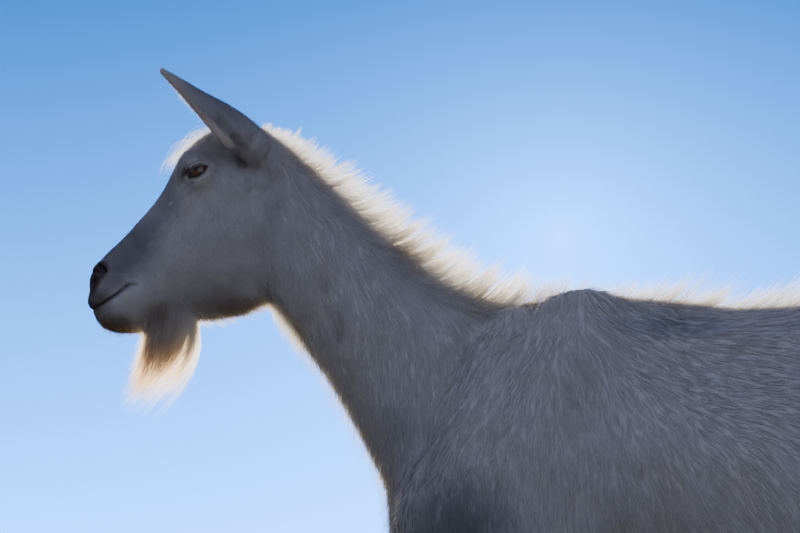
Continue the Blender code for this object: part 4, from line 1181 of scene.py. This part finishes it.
def tuft_mesh(name, lines, ups, widths, strands, spots):
    """Closed three-sided locks along their spines, pointed at the tip, that shade as one coat."""
    count, stations = lines.shape[:2]
    ahead = unit(np.gradient(lines, axis=1))
    across = unit(np.cross(ahead, ups[:, None, :]))
    over = np.cross(across, ahead)
    shares = np.linspace(0, 1, stations)[:-1]
    girth = widths[:, None] * ((1 - shares) ** TUFT_TAPER)[None, :] / 2
    rings = []
    for side, rise in TUFT_SECTION:
        rings.append(
            lines[:, :-1]
            + across[:, :-1] * (girth * side)[..., None]
            + over[:, :-1] * (girth * rise * TUFT_FLATNESS)[..., None]
        )
    body = np.stack(rings, axis=2).reshape(count, -1, 3)
    points = np.concatenate((body, lines[:, -1:]), axis=1)
    per = points.shape[1]
    faces = [(0, 2, 1)]
    for k, side in itertools.product(range(stations - 2), range(3)):
        low, beside = 3 * k + side, 3 * k + (side + 1) % 3
        faces += [(low, beside, beside + 3), (low, beside + 3, low + 3)]
    for side in range(3):
        faces.append((per - 4 + side, per - 4 + (side + 1) % 3, per - 1))
    faces = np.array(faces)[:, ::-1]
    corners = (faces[None] + (np.arange(count) * per)[:, None, None]).reshape(-1, 3)
    data = bpy.data.meshes.new(name)
    data.vertices.add(count * per)
    data.vertices.foreach_set("co", points.astype(np.float32).ravel())
    data.loops.add(corners.size)
    data.loops.foreach_set("vertex_index", corners.astype(np.int32).ravel())
    data.polygons.add(len(corners))
    data.polygons.foreach_set("loop_start", np.arange(0, corners.size, 3, dtype=np.int32))
    data.update(calc_edges=True)
    data.polygons.foreach_set("use_smooth", np.ones(len(corners), bool))
    tips = np.concatenate((np.repeat(shares, 3), (1.0,)))
    set_numbers(data, "tip", np.tile(tips, count))
    set_numbers(data, "strand", np.repeat(strands, per))
    turned = np.tile((-ROUNDNESS, ROUNDNESS, 0.0), stations - 1)[None, :, None]
    turned = np.repeat(across[:, :-1], 3, axis=1) * turned
    turned = np.concatenate((turned, np.zeros((count, 1, 3))), axis=1)
    shading = data.attributes.new("custom_normal", "FLOAT_VECTOR", "POINT")
    shading.data.foreach_set("vector", unit(ups[:, None, :] + turned).astype(np.float32).ravel())
    layer = data.uv_layers.new(name="OFBake")
    sway = np.array((-0.5, 0.5, 0.0) * (stations - 1) + (0.0,)) * UNWRAP_REACH
    shift = np.stack((sway, (tips - 0.5) * UNWRAP_REACH), axis=1)
    uv = (spots[:, None, :] + shift[None]).reshape(-1, 2)[corners.ravel()]
    layer.data.foreach_set("uv", np.clip(uv, 0, 1).astype(np.float32).ravel())
    made = bpy.data.objects.new(name, data)
    bpy.context.scene.collection.objects.link(made)
    return made


def region_of(points):
    """The piece of coat that each root belongs to, as a name."""
    share, gap, _ = ear_place(points)
    ear = (share > 0.15) & (gap < EAR_REACH)
    head = past_line(points, NAPE) > 0
    neck = past_line(points, SHOULDER) > 0
    fore = points[:, 1] < 0.10
    leg = points[:, 2] < 0.44
    side = np.where(points[:, 0] > 0, "left", "right")
    places = (ear, head, neck, leg & fore, leg)
    part = np.select(places, ("ears", "face", "neck", "foreleg", "hindleg"), "trunk")
    return np.char.add(np.char.add(part, "_"), side)


def shortened(points):
    """How much of its length the coat keeps beside the mouth and the eyes."""
    gap, _ = line_gap(points, MOUTH_LINE)
    beside_mouth = 0.30 + 0.70 * smooth_step(gap, 0.002, 0.010)
    kept = np.where(points[:, 1] < -0.44 + WITHERS_Y, beside_mouth, 1.0)
    for _, side in SIDES:
        centre, _, back, upwards, _ = eye_frame(side)
        local = points - centre
        near = np.linalg.norm(local, axis=1) < 0.035
        gap = lid_gap(local @ back, local @ upwards)
        beside_eye = np.minimum(kept, 0.32 + 0.68 * smooth_step(gap, 0.003, 0.014))
        kept = np.where(near, beside_eye, kept)
    return kept


def tuft_width(length):
    """A short tuft's width at its root."""
    return TUFT_THINNEST + TUFT_BREADTH * length


def short_coat_weights(ground):
    """How thickly each of the skin's triangles is set with short tufts."""
    middles = ground.middles
    _, length, _ = lie_of_coat(middles, np.tile((1.0, 0, 0), (len(middles), 1)))
    length = length * shortened(middles)
    weights = 1 / (length * tuft_width(length))
    weights = weights * np.interp(middles[:, 1], (-0.1, 0.35), (1.15, 0.80))
    bare = ground.bare[ground.corners].mean(axis=1)
    udder = (middles[:, 2] < 0.415) & (middles[:, 1] > 0.27) & (np.abs(middles[:, 0]) < 0.062)
    weights = weights * np.clip(1 - bare * 1.6, 0, 1) * np.where(udder, 0.25, 1)
    in_ear = (ear_inside(middles) > 0.4) & (ear_place(middles)[0] < 0.55)
    return weights * np.where(in_ear, 0, 1)


def make_short_coat(ground, stuff):
    """The short coat in tufts, thin and overlapping, over all the skin."""
    rng = np.random.default_rng(HAIR_SEED)
    roots, normals, spots = ground.scatter(SHORT_TUFTS, short_coat_weights(ground), rng)
    count = len(roots)
    way, length, lift = lie_of_coat(roots, normals)
    length = length * shortened(roots)
    clump = soft_noise(roots, 0.011, 3) - 0.5
    drift = soft_noise(roots, 0.035, 5) - 0.5
    yaw = np.radians(clump * 18 + drift * 12 + rng.normal(0, 6, count))
    across = np.cross(normals, way)
    way = way * np.cos(yaw)[:, None] + across * np.sin(yaw)[:, None]
    unruly = 8 * (soft_noise(roots, 0.016, 9) - 0.5)
    lift = np.radians(lift * (0.75 + 0.5 * rng.random(count)) + unruly)
    start = way * np.cos(lift)[:, None] + normals * np.sin(lift)[:, None]
    length = length * (0.70 + 0.5 * rng.random(count) + 0.25 * clump)
    width = tuft_width(length) * (0.8 + 0.4 * rng.random(count))
    patches = 0.5 + 0.55 * (soft_noise(roots, 0.008, 11) - 0.5)
    strands = np.clip(patches + rng.normal(0, 0.16, count), 0, 1)
    sunk = roots - normals * 0.0003
    lines = np.stack((sunk, sunk + start * length[:, None]), axis=1)
    names = region_of(roots)
    for name in np.unique(names):
        members = np.nonzero(names == name)[0]
        members = members[np.argsort(roots[members, 1])]
        parts = int(np.ceil(len(members) / TUFTS_IN_PIECE))
        for k, some in enumerate(np.array_split(members, parts)):
            title = f"coat_{name}" if parts == 1 else f"coat_{name}_{k + 1}"
            given = (values[some] for values in (lines, normals, width, strands, spots))
            piece = tuft_mesh(title, *given)
            if name.startswith("ears"):
                set_numbers(piece.data, "ear_inside", np.repeat(ear_inside(roots[some]), 4))
            told(piece, stuff, "white_coat")


# === the long hair ============================================================================

# The mane and the ridge of hair along the back: place along the back, length, and how far it
# points rearwards and up.
MANE_LIE = (
    (-0.345, 0.004, 0.70, 0.70),
    (-0.330, 0.007, 0.60, 0.80),
    (-0.312, 0.014, 0.55, 0.84),
    (-0.290, 0.022, 0.72, 0.69),
    (-0.275, 0.027, 0.88, 0.47),
    (-0.260, 0.034, 0.90, 0.43),
    (-0.232, 0.041, 0.92, 0.40),
    (-0.185, 0.045, 0.86, 0.51),
    (-0.129, 0.043, 0.74, 0.67),
    (-0.082, 0.040, 0.60, 0.80),
    (-0.041, 0.034, 0.46, 0.89),
    (-0.010, 0.025, 0.50, 0.87),
    (0.026, 0.022, 0.62, 0.78),
    (0.060, 0.025, 0.62, 0.78),
    (0.095, 0.036, 0.62, 0.78),
    (0.112, 0.060, 0.86, 0.51),
    (0.126, 0.040, 0.88, 0.47),
    (0.140, 0.020, 0.80, 0.60),
    (0.155, 0.038, 0.74, 0.67),
    (0.175, 0.044, 0.72, 0.69),
    (0.205, 0.046, 0.66, 0.75),
    (0.260, 0.038, 0.75, 0.66),
    (0.340, 0.026, 0.88, 0.48),
    (0.420, 0.018, 0.95, 0.31),
)
MANE_STATIONS = (-0.34, -0.25, -0.05, 0.05)  # from the poll to the back
MANE_HALF_WIDTHS = (0.016, 0.018, 0.014, 0.023)
MANE_SPAN = (-0.326, 0.44)
MANE_PARTING = -0.060  # where the mane's two pieces meet along the back
# The bone of the tail, as a line in profile.
TAIL_BONE = ((0.595, 0.748), (0.622, 0.728), (0.638, 0.695), (0.644, 0.653), (0.646, 0.625))

# Each kind of long hair: joints in a hair, how wide its locks are, and how hard they draw together.
LOCKS = {
    "mane_on_neck": (4, 0.0085, 0.34),
    "mane_on_back": (4, 0.008, 0.26),
    "beard_hair": (6, 0.007, 0.6),
    "forelock_hair": (7, 0.008, 0.2),
    "throat_fringe": (3, 0.009, 0.5),
    "tail_hair": (4, 0.011, 0.5),
    "ear_fringe": (3, 0.005, 0.3),
    "lashes": (3, 0.003, 0.2),
}

# How many hairs each has.
MANE_LOCKS = 14500
BEARD_LOCKS = 2200
FORELOCK_LOCKS = 170
THROAT_LOCKS = 5200
TAIL_LOCKS = 2200
EAR_HAIRS = 420
LASHES = 90


def crest_reach(points):
    """0 on the mid-line of the crest to 1 at the mane's edges, and past that."""
    half = np.interp(points[:, 1] - WITHERS_Y, MANE_STATIONS, MANE_HALF_WIDTHS)
    return np.abs(points[:, 0]) / half


def clumped(points, size, salt):
    """The way from each hair to the middle of the lock it joins, and two numbers for the lock."""
    stagger = [soft_noise(points, size * 1.7, salt + k) for k in range(3)]
    cells = np.floor((points + np.stack(stagger, axis=1) * size) / size)
    _, members = np.unique(cells, axis=0, return_inverse=True)
    members = members.ravel()
    count = np.bincount(members)[:, None]
    middles = np.stack([np.bincount(members, points[:, k]) for k in range(3)], axis=1) / count
    return middles[members] - points, hashed(cells, salt + 20), hashed(cells, salt + 21)


def sideways(points):
    """The way out from the mid-plane at each place, +X on the left."""
    return np.sign(points[:, :1]) * np.array(((1.0, 0, 0),))


def ways_of(count, out, back, up):
    """Rows of ways, each part given as one number for all or one for each row."""
    return np.stack([np.broadcast_to(part, count) for part in (out, back, up)], axis=1)


def long_locks(name, picked, outwards, ways, bends, lengths, widths, rng, stuff, *nodes):
    """One piece of long hair from its roots and ways, gathered into locks."""
    joints, size, pull = LOCKS[name]
    roots, normals, spots = picked
    count = len(roots)
    inwards, first, second = clumped(roots, size, int(size * 7000))
    lengths = lengths * (0.80 + 0.35 * first) * (0.80 + 0.30 * rng.random(count))
    ways = ways + 0.22 * (second[:, None] - 0.5) * np.array((0.6, 1.0, -0.6))
    ways = ways + rng.normal(0, 0.06, ways.shape)
    bends = bends + inwards * (pull / lengths)[:, None] + rng.normal(0, 0.035, bends.shape)
    lines = spines(roots - normals * 0.0006, ways, bends, lengths, joints)
    strands = np.clip(0.35 + 0.45 * second + rng.normal(0, 0.15, count), 0, 1)
    widths = widths * (0.75 + 0.5 * rng.random(count))
    told(tuft_mesh(name, lines, outwards, widths, strands, spots), stuff, "long_hair", *nodes)


def make_mane(ground, stuff):
    """Hair along the crest of the neck and the back, lying backwards with its tips turned up."""
    rng = np.random.default_rng(HAIR_SEED + 1)
    middles, back = ground.middles, ground.back
    share, gap, _ = ear_place(middles)
    band = (ground.outwards[:, 2] > 0.15) & (middles[:, 2] > 0.74)
    band &= (back > MANE_SPAN[0]) & (back < MANE_SPAN[1]) & ~((share > 0.10) & (gap < 0.03))
    weights = np.clip((1.55 - crest_reach(middles)) / 0.9, 0, 1) * band
    weights = weights * np.interp(back, (-0.33, -0.05, 0.05, 0.44), (1.5, 1.3, 0.9, 0.4))
    picked = ground.scatter(MANE_LOCKS, weights, rng)
    roots, normals = picked[:2]
    back = roots[:, 1] - WITHERS_Y
    stations, lengths, rearwards, upwards = zip(*MANE_LIE)
    length, rearward, upward = (
        np.interp(back, stations, values) for values in (lengths, rearwards, upwards)
    )
    reach = np.clip(crest_reach(roots), 0, 1.25)
    on_neck = back < MANE_PARTING
    flow, _, _ = lie_of_coat(roots, normals)
    ways = ways_of(len(roots), 0.0, rearward, upward - 0.22)
    ways = unit(ways + sideways(roots) * (0.35 * reach)[:, None])
    laid = np.where(on_neck, 0.50 * reach**2, 0.80 * reach**1.5)
    ways = unit(ways * (1 - laid)[:, None] + flow * laid[:, None])
    bends = ways_of(len(roots), -0.25 * np.sign(roots[:, 0]) * reach, 0.0, 0.26 - 0.30 * reach)
    length = length * (1.08 - np.where(on_neck, 0.50 * reach**1.5, 0.60 * reach**1.2))
    widths = 0.00036 + 0.0046 * length
    outwards = unit(normals + 0.5 * sideways(roots))
    for name, some in (("mane_on_neck", on_neck), ("mane_on_back", ~on_neck)):
        chosen = [values[some] for values in picked]
        given = (outwards[some], ways[some], bends[some], length[some], widths[some])
        long_locks(name, chosen, *given, rng, stuff, "mane")


def make_beard(ground, stuff):
    """A full beard under the chin that hangs and sweeps forwards to its tip."""
    rng = np.random.default_rng(HAIR_SEED + 2)
    middles, down = ground.middles, -ground.outwards[:, 2]
    chin = (ground.back > -0.443) & (ground.back < -0.389) & (down > -0.15)
    chin &= middles[:, 2] < 0.789
    spread = 1 - smooth_step(np.abs(middles[:, 0]), 0.008, 0.024)
    picked = ground.scatter(BEARD_LOCKS, chin * spread * smooth_step(down, -0.15, 0.7), rng)
    roots, normals = picked[:2]
    count = len(roots)
    along = np.clip((roots[:, 1] - WITHERS_Y + 0.441) / 0.052, 0, 1)
    beside = smooth_step(np.abs(roots[:, 0]), 0.008, 0.020)
    length = (0.084 + 0.017 * along) * (1 - 0.60 * beside)
    length = length * (0.35 + 0.65 * rng.random(count) ** 0.45)
    ways = ways_of(count, roots[:, 0] * 6, -0.02 + 0.34 * along, -1.0)
    ways = unit(ways + normals * (0.25 * beside)[:, None])
    bends = ways_of(count, -roots[:, 0] * 18, -0.26 - 0.48 * along, 0.05)
    outwards = unit(ways_of(count, roots[:, 0] / 0.004, (along - 0.5) * 0.9, 0.35))
    long_locks("beard_hair", picked, outwards, ways, bends, length, 0.00052, rng, stuff, "beard")


def make_forelock(ground, stuff):
    """Wisps that rise from the poll, fall forwards over the forehead and curl at their tips."""
    rng = np.random.default_rng(HAIR_SEED + 3)
    middles, back = ground.middles, ground.back
    brow = (back > -0.412) & (back < -0.345) & (middles[:, 2] > 0.93)
    brow &= (ground.outwards[:, 2] > 0.2) & (np.abs(middles[:, 0]) < 0.015)
    picked = ground.scatter(FORELOCK_LOCKS, brow, rng)
    roots, normals = picked[:2]
    count = len(roots)
    along = np.clip((roots[:, 1] - WITHERS_Y + 0.412) / 0.062, 0, 1)
    length = (0.030 + 0.022 * along) * (0.45 + 0.65 * rng.random(count))
    ways = ways_of(count, roots[:, 0] * 10, -1.0, 0.95 - 0.25 * along)
    bends = ways_of(count, 0.0, 0.25, -1.60)
    outwards = unit(normals + 0.4 * sideways(roots))
    given = (outwards, ways, bends, length, 0.00046)
    long_locks("forelock_hair", picked, *given, rng, stuff, "forelock")


def make_throat_fringe(ground, stuff):
    """Longer hair under the jaw, down the front of the neck and on the breast."""
    rng = np.random.default_rng(HAIR_SEED + 4)
    middles, back = ground.middles, ground.back
    under = (ground.outwards[:, 2] < -0.30) & (back < -0.28) & (back > -0.488)
    under &= middles[:, 2] > 0.70
    front = (ground.outwards[:, 1] < -0.60) & (past_line(middles, NAPE) < 0.0)
    front &= middles[:, 2] > 0.46
    weights = (np.abs(middles[:, 0]) < 0.024) * (under * 2.2 + front * 1.0)
    picked = ground.scatter(THROAT_LOCKS, weights, rng)
    roots, normals = picked[:2]
    flow, _, _ = lie_of_coat(roots, normals)
    jaw = smooth_step(past_line(roots, NAPE), -0.01, 0.02)
    length = 0.024 - 0.009 * jaw
    length = length - 0.006 * smooth_step(-0.40 - roots[:, 1] + WITHERS_Y, 0.0, 0.03)
    length = length * (0.5 + 0.6 * rng.random(len(roots)))
    lift = np.radians(54 + 4 * jaw)
    ways = flow * np.cos(lift)[:, None] + normals * np.sin(lift)[:, None]
    bends = flow * 0.35 - normals * 0.10
    long_locks("throat_fringe", picked, normals, ways, bends, length, 0.0006, rng, stuff)


def make_ear_fringe(ground, stuff):
    """Fine hair that stands out along the lower edge of each ear."""
    rng = np.random.default_rng(HAIR_SEED + 6)
    share, _, _ = ear_place(ground.middles)
    inside = ear_inside(ground.middles)
    weights = (inside > 0.1) * (inside < 0.95) * (share > 0.30) * (share < 0.92)
    picked = ground.scatter(EAR_HAIRS, weights, rng)
    roots, normals = picked[:2]
    count = len(roots)
    share, _, axis = ear_place(roots)
    hang = ways_of(count, np.sign(roots[:, 0]) * 0.15, -0.45, -0.85)
    ways = unit(hang + axis * 0.35 + 0.2 * normals)
    bends = ways_of(count, 0.0, 0.12, -0.10)
    length = 0.0105 * np.sin(np.pi * np.clip((share - 0.22) / 0.75, 0, 1))
    length = length * (0.5 + 0.6 * rng.random(count)) + 0.002
    long_locks("ear_fringe", picked, normals, ways, bends, length, 0.00042, rng, stuff)


def make_lashes(ground, stuff):
    """Pale lashes that stand out over the upper lids."""
    rng = np.random.default_rng(HAIR_SEED + 7)
    weights = np.zeros(len(ground.middles))
    for _, side in SIDES:
        centre, _, back, upwards, outwards = eye_frame(side)
        local = ground.middles - centre
        along, rise = local @ back, local @ upwards
        gap = lid_gap(along, rise)
        near = (local @ outwards > 0) & (np.linalg.norm(local, axis=1) < 0.022)
        on_edge = (gap > 0.0002) & (gap < 0.0014) & (rise > 0.001) & (along > -0.007)
        weights += near & on_edge
    picked = ground.scatter(LASHES, weights, rng)
    roots, normals = picked[:2]
    ways = unit(sideways(roots) * 0.9 + np.array((0, 0.25, 0.02)) + normals * 0.2)
    bends = ways_of(len(roots), 0.0, 0.10, -0.35)
    long_locks("lashes", picked, normals, ways, bends, 0.0075, 0.00032, rng, stuff)


def make_tail(ground, stuff):
    """The tail's hair, falling from its bone to a point."""
    rng = np.random.default_rng(HAIR_SEED + 5)
    middles = ground.middles
    on_tail = (ground.back > 0.585) & (middles[:, 2] > 0.612) & (np.abs(middles[:, 0]) < 0.015)
    gap, _ = line_gap(middles, TAIL_BONE)
    picked = ground.scatter(TAIL_LOCKS, on_tail * (gap < 0.020), rng)
    roots, normals = picked[:2]
    count = len(roots)
    _, share = line_gap(roots, TAIL_BONE)
    length = np.minimum(0.030 + 0.018 * share, (roots[:, 2] - 0.605) * 1.1 + 0.006)
    length = length * (0.6 + 0.5 * rng.random(count))
    flow = unit(ways_of(count, 0.0, 0.75 - 0.75 * smooth_step(share, 0.0, 0.5), -0.9))
    flow = unit(flow - normals * dots(flow, normals)[:, None])
    ways = unit(flow + normals * 0.34)
    bends = -normals * 0.16 + np.array((0, 0, -0.15))
    long_locks("tail_hair", picked, normals, ways, bends, length, 0.0010, rng, stuff)


# === the studio ===============================================================================

# Soft lamps: name, where each stands from the goat, strength, colour and softness in degrees.
LAMPS = (
    ("behind_and_above", (-1.00, -0.08, 0.13), 13.5, (1.00, 0.95, 0.87), 22),
    ("camera_side", (1.00, -0.10, 0.45), 0.40, (0.72, 0.81, 1.00), 45),
)
FLOOR_HALF_SIZE = 60
FLOOR_DARK, FLOOR_LIGHT = (0.38, 0.40, 0.43), (0.43, 0.44, 0.46)
FLOOR_BOUNCE = (0.115, 0.104, 0.095, 1)  # what it throws back up
BACKDROP_COLOUR = (0.014, 0.263, 1.0, 1)
BACKDROP_STRENGTH = 9.4  # at floor level
BACKDROP_FALL = 13.6  # how fast it dims with height
GLOW_TOWARDS = (-0.9945, 0.0412, 0.0960)  # which way the backdrop glows most
GLOW_STRENGTH = 2.3
GLOW_SIZE = 0.040
AROUND_COLOUR = (0.46, 0.54, 1.00, 1)
AROUND_STRENGTH = 0.27
CAMERA_LENS = 174.8  # millimetres
CAMERA_PLACE = (3.985, -0.2588, 0.4757)
CAMERA_TILT = 95  # degrees from straight down


def floor_material():
    """A pale floor that throws little light back up at the goat."""
    made = plain_material("pale_floor", FLOOR_DARK, FLOOR_LIGHT, 0.85, 1.5, bump=0.05)
    shop = Shop(made.node_tree)
    pale = made.node_tree.nodes["Principled BSDF"].outputs[0]
    dull = shop.add("BsdfDiffuse", Color=FLOOR_BOUNCE).outputs[0]
    seen = shop.add("LightPath").outputs["Is Camera Ray"]
    shop.show(shop.add("MixShader", i0=seen, i1=dull, i2=pale).outputs[0])
    return made


def make_floor():
    """The pale floor, large enough that its edge is never seen."""
    bpy.ops.object.select_all(action="DESELECT")
    bpy.ops.mesh.primitive_grid_add(x_subdivisions=4, y_subdivisions=4, size=2 * FLOOR_HALF_SIZE)
    floor = bpy.context.object
    floor.name = "studio_floor"
    floor.data.materials.append(floor_material())


def make_lamps():
    """The soft lamps, the strongest of them behind the goat."""
    for name, place, strength, colour, softness in LAMPS:
        lamp = bpy.data.objects.new(name, bpy.data.lights.new(name, "SUN"))
        lamp.data.energy = strength
        lamp.data.color = colour
        lamp.data.angle = math.radians(softness)
        lamp.rotation_euler = Vector(place).to_track_quat("Z", "Y").to_euler()
        bpy.context.scene.collection.objects.link(lamp)


def make_backdrop():
    """A plain blue backdrop, paler low down and round a soft glow, and an even light all round."""
    world = bpy.data.worlds.new("backdrop")
    world.use_nodes = True
    bpy.context.scene.world = world
    shop = Shop(world.node_tree)
    towards = shop.add("TexCoord").outputs["Generated"]
    height = shop.maths("MAXIMUM", shop.add("SeparateXYZ", i0=towards).outputs[2], 0.0)
    plain = shop.maths("EXPONENT", shop.maths("MULTIPLY", height, -BACKDROP_FALL))
    away = shop.vectors("DISTANCE", towards, GLOW_TOWARDS)
    glow = shop.maths("EXPONENT", shop.maths("DIVIDE", away, -GLOW_SIZE))
    settings = {"operation": "MULTIPLY_ADD"}
    glow = shop.add("Math", settings, i0=glow, i1=GLOW_STRENGTH, i2=1.0).outputs[0]
    strength = shop.maths("MULTIPLY", shop.maths("MULTIPLY", plain, glow), BACKDROP_STRENGTH)
    backdrop = world.node_tree.nodes["Background"]
    shop.feed(BACKDROP_COLOUR, backdrop.inputs["Color"])
    shop.feed(strength, backdrop.inputs["Strength"])
    around = shop.add("Background", Color=AROUND_COLOUR, Strength=AROUND_STRENGTH).outputs[0]
    seen = shop.add("LightPath").outputs["Is Camera Ray"]
    shop.show(shop.add("MixShader", i0=seen, i1=around, i2=backdrop.outputs[0]).outputs[0])


# === put together =============================================================================

markings_and_painted_shade = markings_and_painted_shade_group()
facing = facing_group()
white_hair = hair_material("white_coat_hair", (0.88, 0.86, 0.83), markings_and_painted_shade, facing, 0.24, 0.0)
long_hair = hair_material("long_white_hair", (0.99, 0.98, 0.965), markings_and_painted_shade, facing, 0.62, 0.81)
fine_hair = hair_material("fine_long_hair", (0.99, 0.98, 0.95), markings_and_painted_shade, facing, 0.62, 0.985)
dark_skin = plain_material(
    "dark_moist_skin", (0.030, 0.022, 0.020), (0.085, 0.060, 0.055), 0.35, 900.0
)
amber = eye_material()

skin = told(make_skin(), skin_material(markings_and_painted_shade), "white_coat", "tail", *FLESH_NODES)
for word, side in SIDES:
    make_eye(word, side, amber)
    make_lids(word, side, dark_skin)
unwrap(skin)
ground = Ground(skin)
make_short_coat(ground, white_hair)
make_mane(ground, long_hair)
make_beard(ground, fine_hair)
make_forelock(ground, fine_hair)
make_throat_fringe(ground, fine_hair)
make_tail(ground, long_hair)
make_ear_fringe(ground, fine_hair)
make_lashes(ground, long_hair)
make_horn(horn_material())

camera = bpy.data.objects.new("camera", bpy.data.cameras.new("camera"))
bpy.context.scene.collection.objects.link(camera)
camera.data.lens = CAMERA_LENS
camera.location = CAMERA_PLACE
camera.rotation_euler = (math.radians(CAMERA_TILT), 0, math.radians(90))
bpy.context.scene.camera = camera
make_floor()
make_lamps()
make_backdrop()
